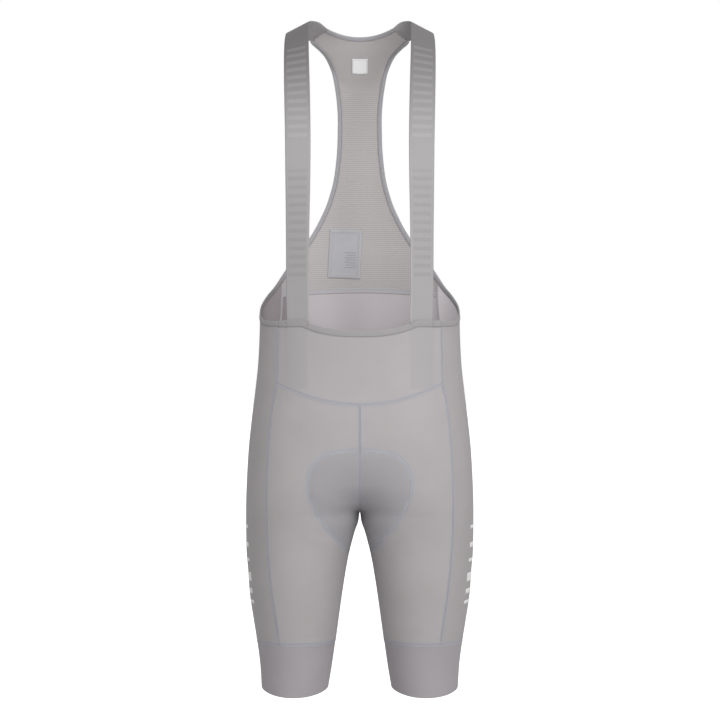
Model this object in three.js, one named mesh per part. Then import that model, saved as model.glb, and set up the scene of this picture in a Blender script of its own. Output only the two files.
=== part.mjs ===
// Cycling bib shorts, shown as worn with no wearer: each cut panel is a thin wall, 0.3 mm from the next at its seams.
// Millimetres, +Z up, front towards -Y, wearer's left at +X.
// The origin is midway between the shoulders, level with the underside of the straps at their crest.
import * as THREE from "three";

// Cloth thicknesses and clearances
const PANEL_WALL = 1.2;
const MESH_WALL = 1.0;
const GRIPPER_WALL = 1.4;
const SEAM_GAP = 0.3;
const BINDING_PROUD = 0.4;
const BINDING_BEHIND = 1.6;

// Widths of the narrow pieces
const BINDING_WIDTH = 6.5;
const WAIST_BINDING_WIDTH = 10;
const STRAP_WIDTH = 35;
const STRAP_WALL = 1.5;
const STRAP_INSET = 2.0;

// Heights of the main lines, from the shoulder down
const BACK_WAIST = -372;
const BACK_WAIST_DROOP = 7;
const SIDE_HIP = -503.5;
const FRONT_HIP = -532.5;
const THIGH_TOP = -545;
const CROTCH = -689;
const GRIPPER_TOP = -865;
const HEM = -934;
const TAIL_END = -511;

// The body that the garment is cut for. outer and inner are how far a leg's section reaches from the centre
// plane, blend rounds the join of the two legs, front and back are the depths, square is the fullness of the
// section's corners, 2 being an ellipse.
const BODY_COLUMNS = ["height", "outer", "inner", "blend", "front", "back", "square"];
const BODY = [
  [-300, 138.0, -138.0, 6, 103, 98, 2.35],
  [-372, 139.0, -138.0, 8, 101, 95, 2.35],
  [-430, 139.9, -136.5, 12, 98, 98, 2.35],
  [-472, 141.7, -132.5, 17, 101, 106, 2.33],
  [-514, 146.0, -122.0, 23, 106, 115, 2.3],
  [-556, 151.2, -102.0, 28, 110, 121, 2.28],
  [-598, 155.4, -70.0, 28, 111, 123, 2.25],
  [-640, 157.8, -26.0, 18, 107, 118, 2.22],
  [-668, 158.8, -4.5, 9, 101, 110, 2.19],
  [-689, 159.0, 5.0, 5, 96.5, 102.5, 2.17],
  [-710, 158.9, 9.8, 5, 92, 95.5, 2.15],
  [-738, 158.3, 15.3, 5, 87.5, 88.5, 2.12],
  [-766, 156.0, 20.5, 5, 83.5, 83.5, 2.1],
  [-794, 154.1, 24.8, 5, 79, 79, 2.08],
  [-836, 148.1, 30.6, 5, 71.5, 72, 2.05],
  [-865, 143.4, 34.5, 5, 67, 67, 2.04],
  [-900, 139.0, 39.5, 5, 63.5, 63.5, 2.03],
  [-934, 137.0, 45.2, 5, 61, 61, 2.02],
];

// The seams that run down the side panel: height, and distance from the centre plane on the front or the back
const SIDE_FRONT_SEAM = [
  [-400, 111.0],
  [-427, 111.5],
  [-478, 112.5],
  [-504, 113.0],
  [-526, 117.5],
  [-565, 122.5],
  [-598, 125.0],
  [-644, 126.8],
  [-693, 127.0],
  [-730, 125.5],
  [-780, 121.5],
  [-817, 116.5],
  [-865, 110.0],
];
const SIDE_BACK_SEAM = [
  [-330, 112],
  [-372, 112],
  [-430, 115],
  [-520, 122],
  [-600, 128],
  [-690, 130],
  [-780, 124],
  [-865, 112],
];

// Finished edge over the side of the waist: depth of the point, and height there
const SIDE_EDGE = [
  [-90, -418.5],
  [-50, -418],
  [0, -402],
  [30, -387],
  [50, -372],
  [66, -357],
  [85, -339],
];

// The back, row by row from the neck: its edge (reach, depth, height) and its centre (depth, height)
const BACK_ROWS = [
  [45, 8, -7, 35, -14.5],
  [57.5, 18, -14, 43, -25],
  [70, 28, -21.5, 51, -36],
  [59.5, 43, -30, 59, -47],
  [52, 52, -36.5, 65.5, -57],
  [46, 61, -45, 72, -68],
  [40.8, 71, -57, 79, -81],
  [36.2, 80, -78, 85.5, -97],
  [33, 89, -102, 91, -113],
  [31.8, 94, -125, 95, -131],
  [32.5, 98, -160, 99.5, -162],
  [36.5, 100, -203, 102, -203],
  [45.7, 100, -240.5, 103, -240],
  [58, 97.5, -269.5, 102.5, -268],
  [74, 91, -298, 101, -295],
  [96, 81, -330, 97, -325],
  [108, 74, -345, 95.5, -345],
  [112, 68, -364.5, 95, -358],
  [112, 66, -379, 95, -372],
];
const BACK_CORNER_ROW = 2;
const BACK_LAST_ROW = BACK_ROWS.length - 1;
const BACK_SEAM_ROW = BACK_LAST_ROW - 1;
const BACK_ON_BODY = [-300, -350];

// The strap above the waist: centre, then how far it is turned about the upright and how far its inner edge rises
const STRAP_STATIONS = [
  [85, -83, -385, 25, 0],
  [84.8, -88, -335, 25, 0],
  [84.5, -94, -280, 22, 0],
  [84, -98.5, -225, 14, 0],
  [84, -99, -170, 7, 0],
  [84.8, -93, -122, 0, 3],
  [86, -80, -80, -3, 8],
  [87, -60, -45, -5, 14],
  [87.2, -33, -19, -3, 20],
  [85.5, -7, -6.6, 6, 27],
  [72, 8.5, -5.8, 24, 25],
  [57.9, 18.4, -13.8, 38.7, 23.6],
];

// The riding pad: angle about its centre from straight down, negative towards the front, and half-width there
const PAD_OUTLINE = [
  [-94, 30],
  [-90, 48],
  [-82, 64],
  [-70, 75],
  [-52, 68],
  [-40, 61],
  [-25, 55],
  [0, 50],
  [25, 56],
  [45, 66],
  [62, 78],
  [78, 84],
  [90, 76],
  [97, 58],
  [101, 36],
];
const PAD_CENTRE = -600;
const PAD_CLEAR = 2.4;
const PAD_EDGE_CLEAR = 0.9;
const PAD_WALL = 6;
const PAD_EDGE_WALL = 1.2;

// The label and the pocket lie on the inner face of the back: reach to each side and heights
const LABEL = { from: -11, to: 11, top: -42, bottom: -62, clear: 0.5, wall: 0.8 };
const POCKET = { from: -45, to: 2, top: -283, bottom: -354, clear: 0.6, wall: 1.4, tilt: 0.05 };

// Grid fineness of the walls
const FRONT_COLUMNS = 10;
const SIDE_COLUMNS = 8;
const SEAT_COLUMNS = 10;
const BACK_HALF_COLUMNS = 9;
const GRIPPER_COLUMNS = 30;
const EDGE_ROWS = 2;
const HIP_ROWS = 6;
const CURVE_ROWS = 3;
const ABOVE_CROTCH_ROWS = 11;
const BELOW_CROTCH_ROWS = 10;
const SECTION_STEPS = 480;
const SETTLE_ROUNDS = 14;

const FABRIC = new THREE.MeshStandardMaterial({ color: 0xa5a1a1, roughness: 0.82, metalness: 0 });
const MESH_FABRIC = new THREE.MeshStandardMaterial({ color: 0xb3b0af, roughness: 0.9, metalness: 0 });
const BINDING_FABRIC = new THREE.MeshStandardMaterial({ color: 0x9b9b98, roughness: 0.78, metalness: 0 });
const STRAP_FABRIC = new THREE.MeshStandardMaterial({ color: 0x8f8d8e, roughness: 0.75, metalness: 0 });
const GRIPPER_FABRIC = new THREE.MeshStandardMaterial({ color: 0xa29e9e, roughness: 0.8, metalness: 0 });
const PAD_FABRIC = new THREE.MeshStandardMaterial({ color: 0x8e9092, roughness: 0.95, metalness: 0 });
const POCKET_FABRIC = new THREE.MeshStandardMaterial({ color: 0xaab0b6, roughness: 0.85, metalness: 0 });
const LABEL_FABRIC = new THREE.MeshStandardMaterial({ color: 0xf2f2f0, roughness: 0.7, metalness: 0 });

const lerp = THREE.MathUtils.lerp;
const radians = THREE.MathUtils.degToRad;

// A smooth curve through [place, value] pairs that never overshoots them. Places may rise or fall.
function curveThrough(pairs) {
  const rising = pairs[0][0] < pairs[pairs.length - 1][0] ? pairs : [...pairs].reverse();
  const steps = rising.slice(1).map(([x, y], i) => {
    const run = x - rising[i][0];
    return { run, slope: (y - rising[i][1]) / run };
  });
  const slopes = rising.map((_, i) => {
    const before = steps[i - 1];
    const after = steps[i];
    if (!before) return after.slope;
    if (!after) return before.slope;
    if (before.slope * after.slope <= 0) return 0;
    const a = before.run + 2 * after.run;
    const b = 2 * before.run + after.run;
    return (a + b) / (a / before.slope + b / after.slope);
  });
  return (place) => {
    const last = rising.length - 2;
    let i = rising.findIndex((pair) => pair[0] > place) - 1;
    if (i === -1) i = 0;
    if (i < 0 || i > last) i = last;
    const { run } = steps[i];
    const t = THREE.MathUtils.clamp((place - rising[i][0]) / run, 0, 1);
    const rest = 1 - t;
    return (
      rising[i][1] * (1 + 2 * t) * rest * rest +
      slopes[i] * run * t * rest * rest +
      rising[i + 1][1] * t * t * (3 - 2 * t) -
      slopes[i + 1] * run * t * t * rest
    );
  };
}

const bodyCurves = Object.fromEntries(
  BODY_COLUMNS.slice(1).map((name, i) => [name, curveThrough(BODY.map((row) => [row[0], row[i + 1]]))]),
);
const sideFrontReach = curveThrough(SIDE_FRONT_SEAM);
const sideBackReach = curveThrough(SIDE_BACK_SEAM);
const sideEdge = curveThrough(SIDE_EDGE);
const padHalfWidth = curveThrough(PAD_OUTLINE);

function signedPower(value, power) {
  return Math.sign(value) * Math.abs(value) ** power;
}

// The sizes of the body at a height, with the centre and half-width of one leg's section
function bodyAt(height) {
  const at = {};
  for (const name of BODY_COLUMNS.slice(1)) at[name] = bodyCurves[name](height);
  const reach = Math.hypot(at.outer, at.blend);
  at.centre = (reach + at.inner) / 2;
  at.half = (reach - at.inner) / 2;
  return at;
}

// The left half of the body's section at a height: from the centre front, or the inseam below the crotch,
// round the outer side and back to the centre back or the inseam
const sections = new Map();
function section(height) {
  if (sections.has(height)) return sections.get(height);
  const at = bodyAt(height);
  const clip = Math.max(-1, (at.blend - at.centre) / at.half);
  const start = Math.asin(signedPower(clip, at.square / 2));
  const points = [];
  const lengths = [0];
  let widest = 0;
  for (let i = 0; i <= SECTION_STEPS; i++) {
    const angle = lerp(start, Math.PI - start, i / SECTION_STEPS);
    const across = at.centre + at.half * signedPower(Math.sin(angle), 2 / at.square);
    const along = signedPower(Math.cos(angle), 2 / at.square);
    const x = Math.sqrt(Math.max(0, across * across - at.blend * at.blend));
    const y = -along * (along > 0 ? at.front : at.back);
    points.push([x, y]);
    if (i > 0) lengths.push(lengths[i - 1] + Math.hypot(x - points[i - 1][0], y - points[i - 1][1]));
    if (x > points[widest][0]) widest = i;
  }
  const made = { points, lengths, widest, total: lengths[SECTION_STEPS] };
  sections.set(height, made);
  return made;
}

// A point of the body's surface: height, and share of the way round its section
function onBody(height, share) {
  const { points, lengths, total } = section(height);
  const wanted = THREE.MathUtils.clamp(share, 0, 1) * total;
  let i = lengths.findIndex((length) => length >= wanted);
  if (i < 1) i = 1;
  const t = (wanted - lengths[i - 1]) / (lengths[i] - lengths[i - 1] || 1);
  return new THREE.Vector3(
    lerp(points[i - 1][0], points[i][0], t),
    lerp(points[i - 1][1], points[i][1], t),
    height,
  );
}

// The share of the way round at which the section has a given reach, on its front or its back
function shareAt(height, reach, side) {
  const { points, lengths, widest, total } = section(height);
  const step = side === "front" ? -1 : 1;
  for (let i = widest; i + step >= 0 && i + step <= SECTION_STEPS; i += step) {
    const here = points[i][0];
    const next = points[i + step][0];
    if (next <= reach) return lerp(lengths[i], lengths[i + step], (here - reach) / (here - next)) / total;
  }
  return side === "front" ? 0 : 1;
}

// Under 1 inside the body and over 1 outside it
function outsideness(x, y, z) {
  const at = bodyAt(z);
  const across = (Math.hypot(x, at.blend) - at.centre) / at.half;
  const along = y / (y < 0 ? at.front : at.back);
  return Math.abs(across) ** at.square + Math.abs(along) ** at.square;
}

function bodyNormal(p) {
  const h = 0.02;
  return new THREE.Vector3(
    outsideness(p.x + h, p.y, p.z) - outsideness(p.x - h, p.y, p.z),
    outsideness(p.x, p.y + h, p.z) - outsideness(p.x, p.y - h, p.z),
    outsideness(p.x, p.y, p.z + h) - outsideness(p.x, p.y, p.z - h),
  ).normalize();
}

function underBody(p, depth) {
  return p.clone().addScaledVector(bodyNormal(p), -depth);
}

const noShare = () => 0;
const fullShare = () => 1;
const sideFrontShare = (height) => shareAt(height, sideFrontReach(height), "front");
const sideBackShare = (height) => shareAt(height, sideBackReach(height), "back");

// Heights of the curved lines, as rules that give the height at a point
const frontWaistEdge = (p) => -418 - 14 * Math.max(0, 1 - (Math.abs(p.x) / 78) ** 2.6);
const frontWaistCut = (p) => frontWaistEdge(p) - WAIST_BINDING_WIDTH;
const hipSeam = (p) => FRONT_HIP + (SIDE_HIP - FRONT_HIP) * (Math.abs(p.x) / 113) ** 2;
const backWaistSeam = (p) => BACK_WAIST - BACK_WAIST_DROOP * (Math.abs(p.x) / 112) ** 2;
const sideCut = (p) => sideEdge(p.y) - lerp(WAIST_BINDING_WIDTH, BINDING_WIDTH + 1, THREE.MathUtils.smoothstep(p.y, -70, 20));

// The point of a column of a panel where a curved line crosses it
function settle(start, share, from, to, rule) {
  let height = start;
  for (let round = 0; round < SETTLE_ROUNDS; round++) {
    height = rule(onBody(height, lerp(from(height), to(height), share)));
  }
  return height;
}

function evenly(from, to, count) {
  return Array.from({ length: count }, (_, i) => lerp(from, to, i / count));
}

// Row heights from the top of the thigh to the gripper, closest together at the crotch
const legHeights = [
  ...Array.from({ length: ABOVE_CROTCH_ROWS }, (_, i) =>
    CROTCH + (THIGH_TOP - CROTCH) * ((ABOVE_CROTCH_ROWS - i) / ABOVE_CROTCH_ROWS) ** 1.8),
  ...Array.from({ length: BELOW_CROTCH_ROWS + 1 }, (_, i) =>
    CROTCH + (GRIPPER_TOP - CROTCH) * (i / BELOW_CROTCH_ROWS) ** 1.5),
];

// A closed wall between two grids of points. A wrapped wall closes on itself along its rows.
function wallBetween(outer, inner, wrapped = false) {
  const rows = outer.length;
  const columns = outer[0].length;
  const positions = [...outer, ...inner].flat().flatMap((p) => [p.x, p.y, p.z]);
  const inside = rows * columns;
  const at = (row, column) => row * columns + (column % columns);
  const faces = [];
  const quad = (a, b, c, d) => faces.push(a, b, c, a, c, d);
  const across = wrapped ? columns : columns - 1;
  for (let r = 0; r < rows - 1; r++) {
    for (let c = 0; c < across; c++) {
      quad(at(r, c), at(r + 1, c), at(r + 1, c + 1), at(r, c + 1));
      quad(inside + at(r, c + 1), inside + at(r + 1, c + 1), inside + at(r + 1, c), inside + at(r, c));
    }
  }
  for (let c = 0; c < across; c++) {
    quad(at(0, c + 1), inside + at(0, c + 1), inside + at(0, c), at(0, c));
    quad(at(rows - 1, c), inside + at(rows - 1, c), inside + at(rows - 1, c + 1), at(rows - 1, c + 1));
  }
  for (let r = 0; r < rows - 1 && !wrapped; r++) {
    quad(at(r, 0), inside + at(r, 0), inside + at(r + 1, 0), at(r + 1, 0));
    quad(at(r + 1, columns - 1), inside + at(r + 1, columns - 1), inside + at(r, columns - 1), at(r, columns - 1));
  }
  return facingOut(positions, faces);
}

// A geometry whose faces point out, whichever way its grid ran
function facingOut(positions, faces) {
  const corner = (i) => new THREE.Vector3(...positions.slice(3 * i, 3 * i + 3));
  let volume = 0;
  for (let i = 0; i < faces.length; i += 3) {
    volume += corner(faces[i]).dot(corner(faces[i + 1]).cross(corner(faces[i + 2])));
  }
  const geometry = new THREE.BufferGeometry();
  geometry.setAttribute("position", new THREE.Float32BufferAttribute(positions, 3));
  geometry.setIndex(volume > 0 ? faces : reversed(faces));
  geometry.computeVertexNormals();
  return geometry;
}

function reversed(faces) {
  return faces.map((_, i) => faces[i - (i % 3) + ((3 - (i % 3)) % 3)]);
}

function mirrored(geometry) {
  const positions = Array.from(geometry.attributes.position.array).map((v, i) => (i % 3 ? v : -v));
  return facingOut(positions, reversed(Array.from(geometry.index.array)));
}

const group = new THREE.Group();

function addMesh(name, geometry, material) {
  const mesh = new THREE.Mesh(geometry, material.clone());
  mesh.name = name;
  group.add(mesh);
}

function addPair(name, geometry, material) {
  addMesh(name + "_left", geometry, material);
  addMesh(name + "_right", mirrored(geometry), material);
}

// A panel on one half of the body. rowsAt gives its row heights at a share of the way across, and keep moves
// points that must stay on their own side of a seam.
function bodyPanel({ columns, rowsAt, from, to, wall, keep = (p) => p }) {
  const outer = [];
  const inner = [];
  for (let c = 0; c <= columns; c++) {
    const across = c / columns;
    const line = rowsAt(across).map((height) => {
      const half = SEAM_GAP / 2 / section(height).total;
      return onBody(height, lerp(from(height) + half, to(height) - half, across));
    });
    outer.push(line.map((p) => keep(p.clone())));
    inner.push(line.map((p) => keep(underBody(p, wall))));
  }
  return wallBetween(outer, inner);
}

function trimmedRows(rows) {
  const half = SEAM_GAP / 2;
  return [rows[0] - half, ...rows.slice(1, -1), rows[rows.length - 1] + half];
}

function offCentre(p) {
  p.x = Math.max(p.x, SEAM_GAP / 2);
  return p;
}

// Front yoke: both halves are one piece, so its columns run from side seam to side seam
function makeYoke() {
  const outer = [];
  const inner = [];
  for (let c = -FRONT_COLUMNS; c <= FRONT_COLUMNS; c++) {
    const across = Math.abs(c) / FRONT_COLUMNS;
    const top = settle(-428, across, noShare, sideFrontShare, frontWaistCut);
    const bottom = settle(-520, across, noShare, sideFrontShare, hipSeam);
    const rows = [...evenly(top, top - 12, EDGE_ROWS), ...evenly(top - 12, bottom, HIP_ROWS), bottom];
    const line = trimmedRows(rows).map((height) => {
      const half = SEAM_GAP / 2 / section(height).total;
      return onBody(height, (sideFrontShare(height) - half) * across);
    });
    const turn = (p) => {
      p.x *= Math.sign(c);
      return p;
    };
    outer.push(line.map((p) => turn(p.clone())));
    inner.push(line.map((p) => turn(underBody(p, PANEL_WALL))));
  }
  addMesh("front_yoke", wallBetween(outer, inner), FABRIC);
}

function makeFrontLegs() {
  const rowsAt = (across) => {
    const top = settle(-520, across, noShare, sideFrontShare, hipSeam);
    return trimmedRows([...evenly(top, THIGH_TOP, CURVE_ROWS), ...legHeights]);
  };
  const keep = (p) => {
    p.y = Math.min(p.y, -SEAM_GAP / 2);
    return offCentre(p);
  };
  const sizes = { columns: FRONT_COLUMNS, rowsAt, from: noShare, to: sideFrontShare, wall: PANEL_WALL, keep };
  addPair("front_leg", bodyPanel(sizes), FABRIC);
}

function makeSidePanels() {
  const rowsAt = (across) => {
    const top = settle(-400, across, sideFrontShare, sideBackShare, sideCut);
    const frontStep = top - 12;
    const backStep = BACK_WAIST - BACK_WAIST_DROOP;
    const step = lerp(frontStep, backStep, across ** 3);
    return trimmedRows([
      ...evenly(top, step, EDGE_ROWS),
      ...evenly(step, SIDE_HIP, HIP_ROWS),
      ...evenly(SIDE_HIP, THIGH_TOP, CURVE_ROWS),
      ...legHeights,
    ]);
  };
  const sizes = { columns: SIDE_COLUMNS, rowsAt, from: sideFrontShare, to: sideBackShare, wall: PANEL_WALL };
  addPair("side_panel", bodyPanel(sizes), FABRIC);
}

function makeSeat() {
  const rowsAt = (across) => {
    const top = settle(BACK_WAIST, across, sideBackShare, fullShare, backWaistSeam);
    return trimmedRows([
      ...evenly(top, SIDE_HIP, HIP_ROWS),
      ...evenly(SIDE_HIP, THIGH_TOP, CURVE_ROWS),
      ...legHeights,
    ]);
  };
  const keep = (p) => {
    p.y = Math.max(p.y, SEAM_GAP / 2);
    return offCentre(p);
  };
  const sizes = { columns: SEAT_COLUMNS, rowsAt, from: sideBackShare, to: fullShare, wall: PANEL_WALL, keep };
  addPair("seat", bodyPanel(sizes), FABRIC);
}

function makeGrippers() {
  const heights = [GRIPPER_TOP - SEAM_GAP / 2, -888, -911, HEM];
  const ring = (height, depth) =>
    Array.from({ length: GRIPPER_COLUMNS }, (_, c) => underBody(onBody(height, c / GRIPPER_COLUMNS), depth));
  const outer = heights.map((height) => ring(height, 0));
  const inner = heights.map((height) => ring(height, GRIPPER_WALL));
  addPair("gripper", wallBetween(outer, inner, true), GRIPPER_FABRIC);
}

// The back's surface: reach is from -1 at one edge to 1 at the other, and row counts the rows from the neck
const backColumns = BACK_ROWS[0].map((_, i) => curveThrough(BACK_ROWS.map((row, place) => [place, row[i]])));

function backAt(row) {
  if (row >= BACK_CORNER_ROW) return backColumns.map((column) => column(row));
  const i = Math.min(Math.floor(row), BACK_CORNER_ROW - 1);
  return BACK_ROWS[i].map((value, column) => lerp(value, BACK_ROWS[i + 1][column], row - i));
}

function onBack(reach, row) {
  const [edgeX, edgeY, edgeZ, centreY, centreZ] = backAt(row);
  const x = edgeX * reach;
  const z = lerp(centreZ, edgeZ, reach * reach);
  const free = lerp(centreY, edgeY, Math.abs(reach) ** 2.3);
  const settled = 1 - THREE.MathUtils.smoothstep(z, BACK_ON_BODY[1], BACK_ON_BODY[0]);
  if (settled === 0) return new THREE.Vector3(x, free, z);
  const at = bodyAt(z);
  const across = Math.abs((Math.hypot(x, at.blend) - at.centre) / at.half);
  const worn = at.back * Math.max(0, 1 - across ** at.square) ** (1 / at.square);
  return new THREE.Vector3(x, lerp(free, worn, settled), z);
}

function backNormal(reach, row) {
  const h = 0.01;
  const a = THREE.MathUtils.clamp(reach, -1 + h, 1 - h);
  const b = THREE.MathUtils.clamp(row, h, BACK_LAST_ROW - h);
  const across = onBack(a + h, b).sub(onBack(a - h, b));
  const down = onBack(a, b + h).sub(onBack(a, b - h));
  return down.cross(across).normalize();
}

// How far in reach, or down in rows, a distance over the cloth goes
function reachFor(distance, row) {
  return distance / onBack(1, row).distanceTo(onBack(0, row));
}

function rowBelow(reach, row, distance) {
  const start = onBack(reach, row);
  let low = row;
  let high = row + 3;
  for (let round = 0; round < 24; round++) {
    const middle = (low + high) / 2;
    if (onBack(reach, middle).distanceTo(start) < distance) low = middle;
    else high = middle;
  }
  return low;
}

function backPoint(reach, row, depth) {
  return onBack(reach, row).addScaledVector(backNormal(reach, row), -depth);
}

function makeBackMesh() {
  const inset = BINDING_WIDTH + 2 * SEAM_GAP;
  const rows = [0, 0.3, 0.65, 1, 1.35, 1.7, ...evenly(2, 9, 9), ...evenly(9, BACK_SEAM_ROW, 9),
    BACK_SEAM_ROW, BACK_SEAM_ROW + 0.5, BACK_LAST_ROW];
  const outer = [];
  const inner = [];
  for (const place of rows) {
    const bound = place >= BACK_CORNER_ROW && place < BACK_SEAM_ROW;
    const cut = bound ? inset : SEAM_GAP;
    const widest = 1 - reachFor(cut, place);
    const fall = 1 - THREE.MathUtils.smoothstep(place, 0, 2);
    const outerLine = [];
    const innerLine = [];
    for (let c = -BACK_HALF_COLUMNS; c <= BACK_HALF_COLUMNS; c++) {
      const reach = (widest * c) / BACK_HALF_COLUMNS;
      const shifted = place < BACK_CORNER_ROW ? lerp(place, rowBelow(reach, 0, inset) + place * 0.55, fall) : place;
      outerLine.push(backPoint(reach, shifted, 0));
      innerLine.push(backPoint(reach, shifted, MESH_WALL));
    }
    outer.push(outerLine);
    inner.push(innerLine);
  }
  const seam = outer.length - 1;
  for (const line of [outer[seam], inner[seam]]) for (const p of line) p.z += SEAM_GAP;
  addMesh("back_mesh", wallBetween(outer, inner), MESH_FABRIC);
}

// A folded edge binding from stations of edge point, way into the cloth, and way out of it
function bindingFrom(stations, width) {
  const outer = stations.map(({ edge, into, out }) => [
    edge.clone().addScaledVector(out, BINDING_PROUD),
    edge.clone().addScaledVector(out, BINDING_PROUD).addScaledVector(into, width),
  ]);
  const inner = stations.map(({ edge, into, out }) => [
    edge.clone().addScaledVector(out, -BINDING_BEHIND),
    edge.clone().addScaledVector(out, -BINDING_BEHIND).addScaledVector(into, width),
  ]);
  return wallBetween(outer, inner);
}

// Stations along the finished edge over the side, from the back towards the front waist
function sideEdgeStations(count, start, end) {
  return Array.from({ length: count }, (_, i) => {
    const across = lerp(start, end, i / (count - 1));
    const from = (height) => lerp(sideFrontShare(height), sideBackShare(height), across);
    const height = settle(-400, 0, from, from, (p) => sideEdge(p.y));
    const edge = onBody(height, from(height));
    const below = onBody(height - 4, from(height - 4));
    return { edge, into: below.sub(edge).normalize(), out: bodyNormal(edge) };
  });
}

function makeArmholeBindings() {
  const back = evenly(BACK_CORNER_ROW + 0.05, BACK_SEAM_ROW - 1, 22).map((row) => {
    const edge = onBack(1, row);
    const into = onBack(0.9, row).sub(edge).normalize();
    return { edge, into, out: backNormal(1, row) };
  });
  const side = sideEdgeStations(14, 0.93, 0);
  addPair("armhole_binding", bindingFrom([...back, ...side], BINDING_WIDTH), BINDING_FABRIC);
}

function makeNeckBinding() {
  const stations = Array.from({ length: 17 }, (_, i) => {
    const reach = lerp(-0.99, 0.99, i / 16);
    const edge = onBack(reach, 0);
    const into = onBack(reach, rowBelow(reach, 0, BINDING_WIDTH)).sub(edge).normalize();
    return { edge, into, out: backNormal(reach, 0) };
  });
  addMesh("neck_binding", bindingFrom(stations, BINDING_WIDTH), BINDING_FABRIC);
}

function makeFrontWaistBinding() {
  const stations = [];
  for (let c = -FRONT_COLUMNS; c <= FRONT_COLUMNS; c++) {
    const across = Math.abs(c) / FRONT_COLUMNS;
    const height = settle(-428, across, noShare, sideFrontShare, frontWaistEdge);
    const edge = onBody(height, sideFrontShare(height) * across);
    const out = bodyNormal(edge);
    edge.x *= Math.sign(c);
    out.x *= Math.sign(c);
    stations.push({ edge, into: new THREE.Vector3(0, 0, -1), out });
  }
  addMesh("front_waist_binding", bindingFrom(stations, WAIST_BINDING_WIDTH - 2 * SEAM_GAP), BINDING_FABRIC);
}

// The strap's two edges at a station above the waist
function strapEdges([x, y, z, turn, rise]) {
  const a = radians(turn);
  const b = radians(rise);
  const inward = new THREE.Vector3(-Math.cos(a) * Math.cos(b), -Math.sin(a) * Math.cos(b), Math.sin(b));
  const centre = new THREE.Vector3(x, y, z);
  return [-STRAP_WIDTH / 2, STRAP_WIDTH / 2].map((half) => centre.clone().addScaledVector(inward, half));
}

// The strap's two edges where it lies inside the yoke
function tailEdges(height) {
  return [101, 69].map((reach) => underBody(onBody(height, shareAt(height, reach, "front")), STRAP_INSET));
}

function makeStraps() {
  const tail = [TAIL_END, -490, -468, -446, -430, -414].map(tailEdges);
  const stations = [...tail, ...STRAP_STATIONS.map(strapEdges)];
  const curves = [0, 1].map((i) => new THREE.CatmullRomCurve3(stations.map((pair) => pair[i]), false, "centripetal"));
  const steps = 44;
  const outer = [];
  const inner = [];
  for (let i = 0; i <= steps; i++) {
    const place = Math.min(i / steps, 1 - 0.004);
    const [outerEdge, innerEdge] = curves.map((curve) => curve.getPoint(place));
    const [ahead, behind] = [place + 0.003, place - 0.003].map((t) => {
      const at = THREE.MathUtils.clamp(t, 0, 1);
      return curves[0].getPoint(at).add(curves[1].getPoint(at));
    });
    const along = ahead.sub(behind);
    const out = innerEdge.clone().sub(outerEdge).cross(along).normalize();
    const line = [0, 0.5, 1].map((t) => outerEdge.clone().lerp(innerEdge, t));
    outer.push(line);
    inner.push(line.map((p) => p.clone().addScaledVector(out, STRAP_WALL)));
  }
  addPair("strap", wallBetween(outer, inner), STRAP_FABRIC);
}

// The body's surface seen from the pad's centre, at a distance from the centre plane and an angle from straight down
function fromPadCentre(x, angle) {
  const y = Math.sin(angle);
  const z = -Math.cos(angle);
  let low = 0;
  let high = 260;
  for (let step = 5; step <= high; step += 5) {
    if (outsideness(x, y * step, PAD_CENTRE + z * step) > 1) {
      low = step - 5;
      high = step;
      break;
    }
  }
  for (let round = 0; round < 24; round++) {
    const middle = (low + high) / 2;
    if (outsideness(x, y * middle, PAD_CENTRE + z * middle) > 1) high = middle;
    else low = middle;
  }
  return new THREE.Vector3(x, y * low, PAD_CENTRE + z * low);
}

function makePad() {
  const rows = 24;
  const halfColumns = 7;
  const first = PAD_OUTLINE[0][0];
  const last = PAD_OUTLINE[PAD_OUTLINE.length - 1][0];
  const outer = [];
  const inner = [];
  for (let r = 0; r <= rows; r++) {
    const degrees = lerp(first, last, r / rows);
    const angle = radians(degrees);
    const half = padHalfWidth(degrees);
    const line = [fromPadCentre(0, angle)];
    const lengths = [0];
    for (let x = 0.5; lengths[lengths.length - 1] < half; x += 0.5) {
      const p = fromPadCentre(x, angle);
      lengths.push(lengths[lengths.length - 1] + p.distanceTo(line[line.length - 1]));
      line.push(p);
    }
    const outerLine = [];
    const innerLine = [];
    for (let c = -halfColumns; c <= halfColumns; c++) {
      const share = (Math.abs(c) / halfColumns) ** 1.3;
      const wanted = share * half;
      const i = Math.max(1, lengths.findIndex((length) => length >= wanted));
      const t = (wanted - lengths[i - 1]) / (lengths[i] - lengths[i - 1]);
      const p = line[i - 1].clone().lerp(line[i], t);
      const endwise = Math.abs((2 * r) / rows - 1);
      const edge = Math.max(share, endwise) ** 6;
      const thick = lerp(PAD_WALL, PAD_EDGE_WALL, edge);
      const clear = PANEL_WALL + lerp(PAD_CLEAR, PAD_EDGE_CLEAR, edge);
      const turn = (q) => q.set(q.x * Math.sign(c), q.y, q.z);
      outerLine.push(turn(underBody(p, clear)));
      innerLine.push(turn(underBody(p, clear + thick)));
    }
    outer.push(outerLine);
    inner.push(innerLine);
  }
  addMesh("chamois_pad", wallBetween(outer, inner), PAD_FABRIC);
}

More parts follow.
